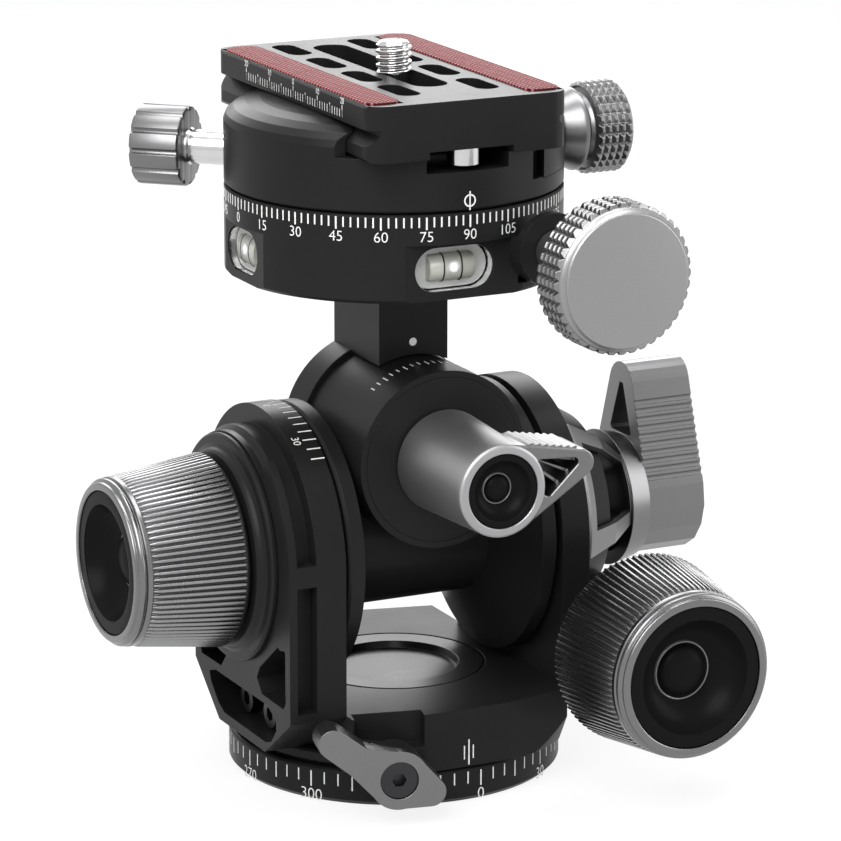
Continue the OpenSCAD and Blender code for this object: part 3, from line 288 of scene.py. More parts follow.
def mix_finishes(colours):
    """Makes every finish once."""
    black, silver = tuple(colours.black), tuple(colours.silver)
    FINISHES.update({
        "black": black_anodised("black_anodised", black),
        "black_fine": black_anodised("black_turned", black, 0.18, 0.3, 0.003),
        "gloss": gloss_black("black_gloss", black),
        "silver": silver_anodised("silver_anodised", silver),
        # painted light: the drive knobs' silver is made 1.5 times brighter, a lit copy that stands in for
        # light their ridges lose by reflecting dark surroundings
        "knob": silver_anodised("silver_ridged_painted_light", silver, 0.26, 0.002, 1.5),
        # painted shade: this finish is the silver at 0.38 of its brightness, a darker copy that stands in for
        # the shade in the drive knobs' grooves
        "painted_groove_shade": silver_anodised("silver_painted_shade", silver, 0.5, 0.002, 0.38),
        "knurl": silver_anodised("silver_knurled", silver, 0.3, 0.003, 1.25),
        "hub": silver_anodised("silver_hub", silver, 0.45, 0.005, 1.9),
        "pan_face": turned_silver("silver_pan_knob", silver, PAN_KNOB, (0, 1, 0), 0.4, 1.6),
        "pitch_rim": turned_silver("silver_pitch_rim", silver, PITCH_KNOB, (0, 1, 0), 0.24),
        "roll_rim": turned_silver("silver_roll_rim", silver, ROLL_KNOB, (1, 0, 0), 0.24),
        "steel": plain_metal("steel", (0.46, 0.46, 0.47), 0.32),
        "bright": plain_metal("bright_steel", (0.6, 0.6, 0.6), 0.16, 0.08, 0.08),
        "dark_steel": plain_metal("black_steel", (0.045, 0.045, 0.048), 0.36),
        "bronze": plain_metal("bronze", (0.52, 0.33, 0.12), 0.34),
        "print": white_print("white_print", tuple(colours.print_white)),
        "pad": pad_rubber("pad_rubber", tuple(colours.pad)),
        "acrylic": clear_acrylic("clear_acrylic"),
        "vial": plain_skin("vial_fluid", (0.55, 0.56, 0.5), 0.12),
        "tray": plain_skin("level_tray", (0.72, 0.72, 0.71), 0.4),
        "polymer": plain_skin("washer_polymer", (0.62, 0.60, 0.54), 0.45),
    })


# ------------------------------------------------------------------ shapes

def facing(way, origin=(0, 0, 0)):
    """A place whose own Z points the given way, at an origin in millimetres."""
    x_to, y_to, z_to = {
        "up": ((1, 0, 0), (0, 1, 0), (0, 0, 1)),
        "right": ((0, 0, -1), (0, 1, 0), (1, 0, 0)),
        "left": ((0, 0, -1), (0, -1, 0), (-1, 0, 0)),
        "front": ((1, 0, 0), (0, 0, 1), (0, -1, 0)),
    }[way]
    place = Matrix((x_to, y_to, z_to)).transposed().to_4x4()
    place.translation = Vector(origin)
    return place


def reading_left(origin):
    """A place on the left side whose own X runs to the front and whose Y points up."""
    place = Matrix(((0, 0, -1, 0), (-1, 0, 0, 0), (0, 1, 0, 0), (0, 0, 0, 1)))
    return Matrix.Translation(origin) @ place


def arc(cx, cz, radius, start, end, steps=6):
    """Points of an arc in a profile, in degrees."""
    angles = [math.radians(start + (end - start) * i / steps) for i in range(steps + 1)]
    return [(cx + radius * math.cos(a), cz + radius * math.sin(a)) for a in angles]


def revolved(profile, steps=128, closed=False, bands=None):
    """A solid of revolution round Z from (radius, height) points.

    Bands give the finish number of the faces from each point on.
    """
    shape = bmesh.new()
    rings = []
    for radius, height in profile:
        if radius < 1e-6:
            rings.append([shape.verts.new((0, 0, height))])
        else:
            rings.append([shape.verts.new((radius * math.cos(a), radius * math.sin(a), height))
                          for a in (2 * math.pi * i / steps for i in range(steps))])
    pairs = list(zip(rings, rings[1:])) + ([(rings[-1], rings[0])] if closed else [])
    for number, (low, high) in enumerate(pairs):
        for i in range(steps):
            j = (i + 1) % steps
            corners = [low[i % len(low)], low[j % len(low)], high[j % len(high)], high[i % len(high)]]
            loop = [v for k, v in enumerate(corners) if v not in corners[:k]]
            if len(loop) > 2:
                face = shape.faces.new(loop)
                face.material_index = bands[number] if bands else 0
    return shape


def slab(outline, holes, low, high, bevel=0.3):
    """A flat solid with rounded edges, from an outline and holes in its own X-Y plane."""
    curve = bpy.data.curves.new("slab", "CURVE")
    curve.dimensions = "2D"
    curve.fill_mode = "BOTH"
    curve.extrude = (high - low) / 2 - bevel
    curve.bevel_depth = bevel
    curve.bevel_resolution = 2
    curve.offset = -bevel
    for loop in [outline] + list(holes):
        spline = curve.splines.new("POLY")
        spline.points.add(len(loop) - 1)
        for point, (x, y) in zip(spline.points, loop):
            point.co = (x, y, 0, 1)
        spline.use_cyclic_u = True
    shape = solid_of(bpy.data.objects.new("slab", curve))
    bpy.data.curves.remove(curve)
    bmesh.ops.translate(shape, vec=(0, 0, (low + high) / 2), verts=shape.verts)
    return shape


def solid_of(tool):
    """The evaluated shape of a helper object, which is then removed."""
    bpy.context.scene.collection.objects.link(tool)
    graph = bpy.context.evaluated_depsgraph_get()
    mesh = bpy.data.meshes.new_from_object(tool.evaluated_get(graph))
    bpy.data.objects.remove(tool)
    shape = bmesh.new()
    shape.from_mesh(mesh)
    bpy.data.meshes.remove(mesh)
    bmesh.ops.remove_doubles(shape, verts=shape.verts, dist=1e-5)
    return shape


def box(x0, x1, y0, y1, z0, z1, taper=0.0):
    """A block in millimetres. A taper pulls its top in on every side."""
    shape = bmesh.new()
    low = [shape.verts.new((x, y, z0)) for x, y in ((x0, y0), (x1, y0), (x1, y1), (x0, y1))]
    top = ((x0 + taper, y0 + taper), (x1 - taper, y0 + taper),
           (x1 - taper, y1 - taper), (x0 + taper, y1 - taper))
    high = [shape.verts.new((x, y, z1)) for x, y in top]
    shape.faces.new(low[::-1])
    shape.faces.new(high)
    for i in range(4):
        shape.faces.new((low[i], low[(i + 1) % 4], high[(i + 1) % 4], high[i]))
    return shape


def polygon(radius, corners):
    """Points of a full circle."""
    turns = (2 * math.pi * i / corners for i in range(corners))
    return [(radius * math.cos(a), radius * math.sin(a)) for a in turns]


def dome(radius, height, rise, step):
    """Points of a dome's profile from its rim to its top, every step degrees."""
    turns = (math.radians(a) for a in range(0, 91, step))
    return [(radius * math.cos(a), height + rise * math.sin(a)) for a in turns]


def shifted(shape, x, y, z):
    return moved(shape, Matrix.Translation((x, y, z)))


def moved(shape, place):
    bmesh.ops.transform(shape, matrix=place, verts=shape.verts)
    return shape


def joined(*shapes):
    """All shapes as one. Each comes as a shape or as (shape, finish number)."""
    whole = bmesh.new()
    for entry in shapes:
        shape, number = entry if isinstance(entry, tuple) else (entry, None)
        bmesh.ops.recalc_face_normals(shape, faces=shape.faces)
        if number is not None:
            for face in shape.faces:
                face.material_index = number
        mesh = bpy.data.meshes.new("part")
        shape.to_mesh(mesh)
        shape.free()
        whole.from_mesh(mesh)
        bpy.data.meshes.remove(mesh)
    return whole


def piece(name, shape, body, finishes, place=None, sharp=32):
    """Makes a piece that rides on a body: in metres, faces outward, edges sharp where they turn hard."""
    if place:
        moved(shape, place)
    bmesh.ops.scale(shape, vec=(MM, MM, MM), verts=shape.verts)
    bmesh.ops.remove_doubles(shape, verts=shape.verts, dist=1e-7)
    bmesh.ops.recalc_face_normals(shape, faces=shape.faces)
    for face in shape.faces:
        face.smooth = True
    for edge in shape.edges:
        if len(edge.link_faces) == 2 and edge.calc_face_angle(0) > math.radians(sharp):
            edge.smooth = False
    mesh = bpy.data.meshes.new(name)
    shape.to_mesh(mesh)
    shape.free()
    for finish in finishes:
        mesh.materials.append(FINISHES[finish])
    made = bpy.data.objects.new(name, mesh)
    bpy.context.scene.collection.objects.link(made)
    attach(made, body)
    return made


# ------------------------------------------------------------------ rows of like items

def grow_row_tree():
    """Geometry Nodes tree that sets an item in rows round or along its own Z axis."""
    tree = bpy.data.node_groups.new("item_rows", "GeometryNodeTree")
    sockets = (("Item", "Geometry"), ("Count", "Int"), ("Rows", "Int"), ("Start", "Float"), ("Step", "Float"),
               ("Row Turn", "Float"), ("Row Gap", "Float"), ("Slide", "Vector"), ("Finish", "Material"))
    for name, kind in sockets:
        tree.interface.new_socket(name, in_out="INPUT", socket_type="NodeSocket" + kind)
    tree.interface.new_socket("Rows made", in_out="OUTPUT", socket_type="NodeSocketGeometry")

    def node(kind, settings=None, inputs=None, out=0):
        made = tree.nodes.new(kind)
        for key, value in (settings or {}).items():
            setattr(made, key, value)
        for key, value in (inputs or {}).items():
            if isinstance(value, bpy.types.NodeSocket):
                tree.links.new(value, made.inputs[key])
            else:
                made.inputs[key].default_value = value
        return made.outputs[out] if len(made.outputs) else made

    def maths(operation, first, second=0.0):
        return node("ShaderNodeMath", {"operation": operation}, {0: first, 1: second})

    given = tree.nodes.new("NodeGroupInput").outputs
    index = node("GeometryNodeInputIndex")
    column = maths("MODULO", index, given["Count"])
    row = maths("FLOOR", maths("DIVIDE", index, given["Count"]))
    turn = maths("ADD", given["Start"], maths("ADD", maths("MULTIPLY", given["Step"], column),
                                              maths("MULTIPLY", given["Row Turn"], row)))
    lift = node("ShaderNodeCombineXYZ", None, {2: maths("MULTIPLY", given["Row Gap"], row)})
    slide = node("ShaderNodeVectorMath", {"operation": "SCALE"}, {0: given["Slide"], "Scale": column})
    spot = node("ShaderNodeVectorMath", {"operation": "ADD"}, {0: lift, 1: slide})
    line = node("GeometryNodeMeshLine", None, {"Count": maths("MULTIPLY", given["Count"], given["Rows"])})
    points = node("GeometryNodeSetPosition", None, {"Geometry": line, "Position": spot})
    spin = node("ShaderNodeCombineXYZ", None, {2: turn})
    items = node("GeometryNodeInstanceOnPoints", None,
                 {"Points": points, "Instance": given["Item"], "Rotation": spin})
    solid = node("GeometryNodeRealizeInstances", None, {"Geometry": items})
    done = node("GeometryNodeSetMaterial", None, {"Geometry": solid, "Material": given["Finish"]})
    tree.links.new(done, tree.nodes.new("NodeGroupOutput").inputs[0])
    return tree


def rows_of(item, finish, count, rows=1, start=0.0, step=0.0, row_turn=0.0, row_gap=0.0, slide=(0, 0, 0)):
    """Repeats an item through the tree as one plain shape. Angles are in degrees, gaps in millimetres."""
    tree = bpy.data.node_groups.get("item_rows") or grow_row_tree()
    mesh = bpy.data.meshes.new("item")
    item.to_mesh(mesh)
    item.free()
    tool = bpy.data.objects.new("item", mesh)
    modifier = tool.modifiers.new("rows", "NODES")
    modifier.node_group = tree
    values = {"Count": count, "Rows": rows, "Start": math.radians(start), "Step": math.radians(step),
              "Row Turn": math.radians(row_turn), "Row Gap": float(row_gap),
              "Slide": tuple(map(float, slide)), "Finish": FINISHES[finish]}
    for socket in tree.interface.items_tree:
        if socket.in_out == "INPUT" and socket.name in values:
            modifier[socket.identifier] = values[socket.name]
    shape = solid_of(tool)
    bpy.data.meshes.remove(mesh)
    return shape


# ------------------------------------------------------------------ printed scales

def figures(text, height, lift):
    """Figures as a thin flat solid in X-Y, centred on X, with their top at Y = 0."""
    curve = bpy.data.curves.new("figures", "FONT")
    curve.body = text
    curve.size = height / 0.73
    curve.align_x = "CENTER"
    curve.resolution_u = 4
    curve.extrude = lift / 2
    curve.offset = -0.012 * height
    shape = solid_of(bpy.data.objects.new("figures", curve))
    bpy.data.curves.remove(curve)
    bmesh.ops.subdivide_edges(shape, edges=[e for e in shape.edges if e.calc_length() > 0.6], cuts=1)
    bmesh.ops.translate(shape, vec=(0, -height, lift / 2), verts=shape.verts)
    return shape


def wrapped(shape, radius, angle, height):
    """Bends a flat print round a cylinder about Z: its X runs counter-clockwise from an angle in degrees."""
    for vert in shape.verts:
        turn = math.radians(angle) + vert.co.x / radius
        reach = radius + vert.co.z
        vert.co = Vector((reach * math.cos(turn), reach * math.sin(turn), height + vert.co.y))
    return shape


def tick(radius, width, low, high, lift):
    """One upright scale mark on a cylinder, at angle 0."""
    return box(radius - PRINT_SINK, radius + lift, -width / 2, width / 2, low, high)


def ring_scale(radius, top, marks, labels, lift, zero=0.0):
    """A scale round a cylinder.

    Marks are (step, skip, length, width) and labels are (degrees, text, height, drop).
    """
    shapes = []
    for step, skip, length, width in marks:
        count = round(360 / step)
        keep = [i for i in range(count)
                if not skip or round(i * step) % skip or abs(i * step - round(i * step)) > 0.1]
        mark = tick(radius, width, top - length, top, lift)
        if len(keep) == count:
            shapes.append(rows_of(mark, "print", count, start=zero, step=step))
            continue
        runs = [i for i in keep if i - 1 not in keep]
        ends = [i for i in keep if i + 1 not in keep]
        span = min(e - r + 1 for r, e in zip(runs, ends))
        shapes.append(rows_of(mark, "print", span, rows=len(runs), start=zero + runs[0] * step, step=step,
                              row_turn=(runs[1] - runs[0]) * step))
    for degrees, text, height, drop in labels:
        shapes.append(wrapped(figures(text, height, lift), radius, zero + degrees, top - drop))
    return joined(*shapes)


# ------------------------------------------------------------------ operators

class FinishSolids(bpy.types.Operator):
    """Give every CAD solid its finish"""

    bl_idname = "head.finish_solids"
    bl_label = "Finishes of the solids"

    def execute(self, context):
        mix_finishes(context.scene.head_colours)
        groups = {
            "black": "base_ring deck left_arm right_arm left_bearing_cap pitch_worm_bush wheel_cover barrel "
                     "front_disc roll_worm_bush rotor_stem rotor_cover pan_housing pan_worm_bush clamp_body "
                     "clamp_jaw quick_release_plate pitch_clutch_hub",
            "black_fine": "spindle_cap",
            "gloss": "pitch_knob_cap roll_knob_cap roll_lever_cap",
            "silver": "base_lock_lever pitch_lever roll_lever pan_lock_knob clamp_knob pan_knob",
            "knob": "pitch_knob roll_knob",
            "steel": "pitch_worm pitch_wheel_nut roll_clutch_plate roll_worm stem_screws pan_worm "
                     "pan_spindle pan_nut jaw_pins clamp_screw screw_washer",
            "bright": "camera_screw stop_screws",
            "dark_steel": "arm_screws base_lock_screw",
            "bronze": "lock_shoe pitch_worm_wheel roll_bearing_plate roll_worm_wheel pan_worm_wheel lock_pad",
            "polymer": "thrust_washer side_washers",
            "pad": "plate_pads",
            "acrylic": "front_level side_level",
        }
        for finish, names in groups.items():
            for name in names.split():
                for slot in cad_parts[name].material_slots:
                    slot.material = FINISHES[finish]
        return {"FINISHED"}


class DriveKnobs(bpy.types.Operator):
    """Build the two ridged drive knobs and their bowled caps"""

    bl_idname = "head.drive_knobs"
    bl_label = "Drive knobs"

    def ridge(self, depth, count):
        """One ridge along the knob's cone, at angle 0: rounded across, and run out at the front."""
        shape = bmesh.new()
        rows = ((0.95, 17.25, 0.5), (1.35, 17.3, 1.0), (16.3, 15.3, 1.0), (17.2, 15.05, 0.55),
                (17.75, 14.9, 0.06))
        across = ((-0.37, -1.15), (-0.3, -0.3), (-0.16, -0.04), (0.0, 0.0), (0.16, -0.04), (0.3, -0.3),
                  (0.37, -1.15))
        rings = []
        for height, radius, wide in rows:
            pitch = 2 * math.pi * radius / count
            rings.append([shape.verts.new((radius + drop * depth, side * pitch * (0.35 + 0.65 * wide), height))
                          for side, drop in across])
        for low, high in zip(rings, rings[1:]):
            for i in range(len(across) - 1):
                shape.faces.new((low[i], low[i + 1], high[i + 1], high[i]))
            shape.faces.new((low[-1], low[0], high[0], high[-1]))
        shape.faces.new(rings[0][::-1])
        shape.faces.new(rings[-1])
        return shape

    def execute(self, context):
        sizes = context.scene.head_sizes
        depth = sizes.ridge_depth / MM
        body = ([(0, 6.9), (2.75, 6.9), (2.75, 0.0), (15.9, 0.0)] + arc(16.0, 0.75, 0.75, -90, 0)
                + [(16.75, 0.9), (14.62, 17.0)] + arc(14.75, 17.35, 0.3, 180, 90, 4)
                + [(15.02, 17.75), (15.0, 18.5), (14.82, 18.66), (14.5, 18.72), (14.46, 18.86),
                   (14.72, 18.98)]
                + arc(14.35, 19.35, 0.5, -10, 55, 5) + [(14.2, 19.98), (14.18, 20.2)]
                + arc(13.85, 20.22, 0.33, 0, 90, 4)
                + [(13.0, 20.6), (12.82, 20.5), (12.78, 20.2), (12.75, 13.6), (0, 13.6)])
        cap = ([(0, 13.6), (12.7, 13.6), (12.7, 20.1)] + arc(12.5, 20.15, 0.2, 0, 90, 3)
               + [(10.45, 20.35)] + arc(10.3, 20.2, 0.15, 80, 10, 3)
               + [(10.1, 19.5), (9.5, 18.3), (8.5, 17.1), (7.2, 16.1), (6.1, 15.62), (5.45, 15.5),
                  (5.32, 15.74), (5.16, 15.8), (5.0, 15.72)]
               + dome(4.7, 15.6, 1.95, 9))
        bands = [0] * len(cap)
        for i, (radius, height) in enumerate(cap):
            if 5.1 < radius < 5.5 and height < 16:
                bands[i] = 1
        for name, way, origin in (("pitch", "front", PITCH_KNOB), ("roll", "left", ROLL_KNOB)):
            mover = f"{name}_drive"
            place = facing(way, origin)
            # the ridges take the brightened silver, painted light
            ridges = rows_of(self.ridge(depth, sizes.ridges), "knob", sizes.ridges, step=360 / sizes.ridges)
            # the cone under the ridges (band 2) takes the darker silver: painted shade for the grooves between
            # the ridges
            drum = [2 if height < 17.1 and radius > 14.5 else 1 for radius, height in body]
            knob = piece(f"{name}_knob_ridged", joined(revolved(body, 180, bands=drum), (ridges, 0)), mover,
                         ("knob", f"{name}_rim", "painted_groove_shade"), place)
            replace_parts(knob, f"{name}_knob")
            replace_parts(piece(f"{name}_knob_bowl", revolved(cap, 128, bands=bands), mover,
                              ("gloss", "silver"), place), f"{name}_knob_cap")
        return {"FINISHED"}


class KnurledKnobs(bpy.types.Operator):
    """Build the knurled panning and clamp knobs and the fluted lock knob"""

    bl_idname = "head.knurled_knobs"
    bl_label = "Small knobs"

    def knurl(self, radius, rows, around, length, height):
        """Rows of small blunt pyramids on a drum, from height 0."""
        pitch = 2 * math.pi * (radius - height) / around
        row = length / rows
        item = box(-row / 2, row / 2, -pitch / 2, pitch / 2, 0, height, min(row, pitch) * 0.36)
        shifted(item, 0, 0, radius - height)
        moved(item, Matrix(((0, 0, 1, 0), (0, 1, 0, 0), (-1, 0, 0, row / 2), (0, 0, 0, 1))))
        return rows_of(item, "knurl", around, rows, step=360 / around, row_gap=row)

    def execute(self, context):
        sizes = context.scene.head_sizes
        rows, height = sizes.knurl_rows, sizes.knurl_height / MM
        pan = ([(0, 6.1), (2.66, 6.1), (2.66, -16.6), (3.6, -16.6), (3.6, -0.3), (3.9, 0.0),
                (11.2, 0.0), (11.8, 0.35), (12.2, 0.9), (12.3, 1.2), (12.3, 8.3)]
               + arc(11.9, 8.3, 0.4, 0, 50, 3) + [(11.75, 9.0), (11.6, 9.5)]
               + arc(11.25, 9.35, 0.35, 10, 90, 4) + [(0, 9.7)])
        knurls = shifted(self.knurl(13.0, rows, 40, 7.3, height), 0, 0, 1.0)
        knob = piece("pan_knob_knurled", joined((revolved(pan, 160), 1), (knurls, 0)), "pan_drive",
                     ("knurl", "pan_face"), facing("front", PAN_KNOB))
        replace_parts(knob, "pan_knob")
        clamp = ([(0, 38.02), (3.02, 38.02), (3.02, 30.9), (5.3, 30.9)] + arc(5.4, 31.3, 0.4, -90, -20, 3)
                 + [(6.0, 31.5), (7.2, 34.4), (7.45, 34.8), (7.45, 35.3), (7.1, 35.55), (6.3, 35.9),
                    (6.1, 36.3), (6.5, 36.9), (7.45, 37.3), (7.55, 37.6), (7.55, 43.6), (7.3, 44.1),
                    (6.7, 44.4), (0, 44.4)])
        knurls = shifted(self.knurl(8.3, rows, 26, 6.9, height), 0, 0, 36.9)
        knob = piece("clamp_knob_knurled", joined((revolved(clamp, 128), 1), (knurls, 0)), "clamp_drive",
                     ("knurl", "silver"), facing("right", (0, 0, CLAMP_SCREW_Z)))
        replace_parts(knob, "clamp_knob")
        outline = []
        flutes = 12
        for i in range(flutes):
            middle = math.radians(360 / flutes * i)
            for step in range(-4, 5):
                outline.append((7.2 - 0.5 * (1 - (step / 4) ** 2), middle + math.radians(step * 1.15)))
            for step in range(1, 6):
                outline.append((7.2, middle + math.radians(4.6 + step * 3.4)))
        loop = [(r * math.cos(a), r * math.sin(a)) for r, a in outline]
        stem = revolved([(0, 15.2), (3.1, 15.2), (3.1, 37.3), (3.35, 37.7), (3.4, 38.4), (0, 38.4)], 64)
        grip = shifted(slab(loop, [], 0.0, 9.2, 0.55), 0, 0, 38.0)
        turn = Matrix.Rotation(math.radians(LOCK_TURN), 4, "Z") @ facing("right")
        knob = piece("lock_knob_fluted", joined((stem, 0), (grip, 1)), "pan_lock",
                     ("bright", "silver"), Matrix.Translation((0, 0, LOCK_Z)) @ turn, 24)
        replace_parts(knob, "pan_lock_knob")
        return {"FINISHED"}


def linked(first, r1, second, r2, steps=24):
    """The outline round two circles and their outer tangents."""
    away = Vector(second) - Vector(first)
    turn = math.atan2(away.y, away.x)
    lean = math.acos((r1 - r2) / away.length)
    loop = []
    for centre, radius, start, sweep in ((first, r1, turn + lean, 2 * math.pi - 2 * lean),
                                         (second, r2, turn - lean, 2 * lean)):
        for i in range(steps + 1):
            a = start + sweep * i / steps
            loop.append((centre[0] + radius * math.cos(a), centre[1] + radius * math.sin(a)))
    return loop


def rounded(corners, radius, steps=5):
    """A polygon with its corners rounded."""
    loop = []
    count = len(corners)
    for i, corner in enumerate(corners):
        here = Vector(corner)
        back = (Vector(corners[i - 1]) - here).normalized()
        ahead = (Vector(corners[(i + 1) % count]) - here).normalized()
        half = math.acos(max(-1, min(1, back.dot(ahead)))) / 2
        reach = radius / math.tan(half)
        centre = here + (back + ahead).normalized() * (radius / math.sin(half))
        start, end = here + back * reach - centre, here + ahead * reach - centre
        a0, a1 = math.atan2(start.y, start.x), math.atan2(end.y, end.x)
        sweep = (a1 - a0 + math.pi) % (2 * math.pi) - math.pi
        for k in range(steps + 1):
            a = a0 + sweep * k / steps
            loop.append((centre.x + radius * math.cos(a), centre.y + radius * math.sin(a)))
    return loop


class FrontLever(bpy.types.Operator):
    """Build the roll clutch's lever: tapered hub, open handle, teeth and bowled cap"""

    bl_idname = "head.front_lever"
    bl_label = "Front lever"

    def execute(self, context):
        place = facing("front", (0, 0, ROLL_Z))
        face = 43.1
        hub = ([(0, 16.0), (3.9, 16.0), (3.9, 20.3), (8.9, 20.3), (9.2, 20.6), (8.25, 41.6), (8.22, 42.4)]
               + arc(7.6, 42.5, 0.6, 0, 90, 5) + [(6.72, face), (6.6, 42.98), (6.6, 39.2), (0, 39.2)])
        outline = linked((0, 0), 8.2, (15.2, 3.2), 2.45)
        window = rounded(((6.4, 4.75), (15.6, 4.15), (8.5, -2.6)), 0.75)
        handle = slab(outline, [polygon(7.4, 48), window], 33.2, face - 0.25, 0.35)
        floor = slab(rounded(((5.6, 5.6), (16.2, 4.8), (8.4, -3.8)), 0.9), [], 34.2, 36.2, 0.05)
        rib = box(-0.42, 0.42, -4.6, 4.6, 36.0, 41.2, 0.12)
        moved(rib, Matrix.Translation((8.0, 2.6, 0)) @ Matrix.Rotation(math.radians(46), 4, "Z"))
        ribs = rows_of(rib, "silver", 3, slide=(1.9, 0.0, 0))
        for vert in list(ribs.verts):
            x, y = vert.co.x, vert.co.y
            vert.co.y = max(-2.4, min(4.7 - (x - 6.4) * 0.06, y))
            limit = -2.6 + (x - 8.5) * 0.95
            if vert.co.y < limit:
                vert.co.y = limit
        lean = math.atan2(5.65 - 8.2, 15.2)
        tooth = bmesh.new()
        section = ((-0.7, -0.5), (0.66, -0.5), (0.52, 0.42), (0.3, 0.44), (-0.62, 0.0))
        ends = [[tooth.verts.new((x, y, z)) for x, y in section] for z in (33.5, face - 0.5)]
        tooth.faces.new(ends[0][::-1])
        tooth.faces.new(ends[1])
        for i in range(5):
            tooth.faces.new((ends[0][i], ends[0][(i + 1) % 5], ends[1][(i + 1) % 5], ends[1][i]))
        moved(tooth, Matrix.Translation((5.3, 7.42, 0)) @ Matrix.Rotation(lean, 4, "Z"))
        row = rows_of(tooth, "silver", 7, slide=(1.4, 1.4 * math.tan(lean), 0))
        whole = joined((revolved(hub, 128), 1), (handle, 0), (floor, 0), (ribs, 0), (row, 0))
        lever = piece("roll_lever_toothed", whole, "roll_clutch", ("silver", "hub"), place)
        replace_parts(lever, "roll_lever")
        cap = ([(0, 39.1), (6.5, 39.1), (6.5, 42.75), (6.35, 42.9), (5.5, 42.9), (5.35, 42.8),
                (5.1, 42.1), (4.5, 41.2), (3.6, 40.6), (2.85, 40.42), (2.75, 40.62), (2.62, 40.66),
                (2.5, 40.58)] + dome(2.4, 40.5, 1.1, 15))
        bands = [1 if 2.55 < r < 2.9 and h < 41 else 0 for r, h in cap]
        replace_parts(piece("roll_lever_bowl", revolved(cap, 96, bands=bands), "roll_clutch",
                          ("gloss", "silver"), place), "roll_lever_cap")
        return {"FINISHED"}


class CameraPlate(bpy.types.Operator):
    """Build the threaded camera screw and the patterned pads"""

    bl_idname = "head.camera_plate"
    bl_label = "Plate and camera screw"

    def screw(self, pitch):
        """The camera screw: round foot, plain neck and a run of thread with a chamfered top."""
        steps, levels = 48, 56
        shape = bmesh.new()
        low, top, crest, root = 125.6, 131.2, 3.175, 2.62
        rings = []
        for i in range(levels + 1):
            z = low + (top - low) * i / levels
            ring = []
            for j in range(steps):
                a = 2 * math.pi * j / steps
                phase = ((z - low) / pitch - j / steps) % 1.0
                r = root + (crest - root) * max(0.0, min(1.0, 1.65 - 4.3 * abs(phase - 0.5)))
                r = min(r, 2.35 + (top - z) * 1.1, 2.9 + (z - low) * 1.5)
                ring.append(shape.verts.new((r * math.cos(a), r * math.sin(a), z)))
            rings.append(ring)
        for first, second in zip(rings, rings[1:]):
            for j in range(steps):
                k = (j + 1) % steps
                shape.faces.new((first[j], first[k], second[k], second[j]))
        shape.faces.new(rings[0][::-1])
        shape.faces.new(rings[-1])
        foot = revolved([(0, 116.2), (5.2, 116.2), (5.5, 116.5), (5.5, 117.6), (5.2, 117.9), (2.87, 117.9),
                         (2.87, 125.9), (0, 125.9)], 96)
        return joined(foot, shape)

    def execute(self, context):
        pitch = context.scene.head_sizes.thread_pitch / MM
        screw = piece("camera_screw_threaded", self.screw(pitch), "camera_fixing", ("bright",),
                      sharp=60)
        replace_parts(screw, "camera_screw")
        pads = []
        for left, right in ((-18.45, -11.95), (11.95, 18.45)):
            loop = rounded(((left, -28.5), (right, -28.5), (right, 32.9), (left, 32.9)), 2.6, 8)
            pads.append(slab(loop, [], 125.3, 126.1, 0.12))
        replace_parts(piece("plate_pads_patterned", joined(*pads), "plate", ("pad",)),
                    "plate_pads")
        return {"FINISHED"}


class Levels(bpy.types.Operator):
    """Build the trays, vials and bubbles behind the two level windows"""

    bl_idname = "head.levels"
    bl_label = "Levels"

    def stadium(self, width, height, steps=10):
        half, radius = (width - height) / 2, height / 2
        return arc(half, 0, radius, -90, 90, steps) + arc(-half, 0, radius, 90, 270, steps)

    def execute(self, context):
        lie_down = Matrix.Rotation(math.radians(90), 4, "Y")
        axis, floor = -2.6, -3.3
        for name, place, width, vial in (("front", facing("front", (-1.9, -27.5, LEVEL_Z)), 14.6, 8.6),
                                         ("side", reading_left((-28.6, 0.8, LEVEL_Z)), 12.2, 7.0)):
            tray = slab(self.stadium(width, 7.4), [], -3.4, -2.9, 0.1)
            end = vial / 2
            tube = revolved([(0, -end), (2.1, -end), (2.35, -end + 0.3), (2.5, 0), (2.35, end - 0.3),
                             (2.1, end), (0, end)], 48)
            moved(tube, Matrix.Translation((0, 0, axis)) @ lie_down)
            ring = revolved([(2.56, -0.12), (2.62, 0.12), (2.45, 0.12), (2.45, -0.12)], 40, closed=True)
            moved(ring, lie_down)
            rings = shifted(rows_of(ring, "dark_steel", 2, slide=(3.4, 0, 0)), -1.7, 0, axis)
            for vert in list(tube.verts) + list(rings.verts):
                vert.co.z = max(vert.co.z, floor)
            bubble = revolved([(0, 0.5)] + [(1.25 * math.cos(math.radians(a)), 0.5 * math.sin(math.radians(a)))
                                            for a in (60, 30, 0, -30, -60)] + [(0, -0.5)], 40)
            shifted(bubble, 0.2, 0.2, -0.35)
            piece(f"{name}_level_tray", joined((tray, 0), (tube, 1), (rings, 2), (bubble, 0)), "rotor",
                  ("tray", "vial", "dark_steel"), place, 40)
        return {"FINISHED"}


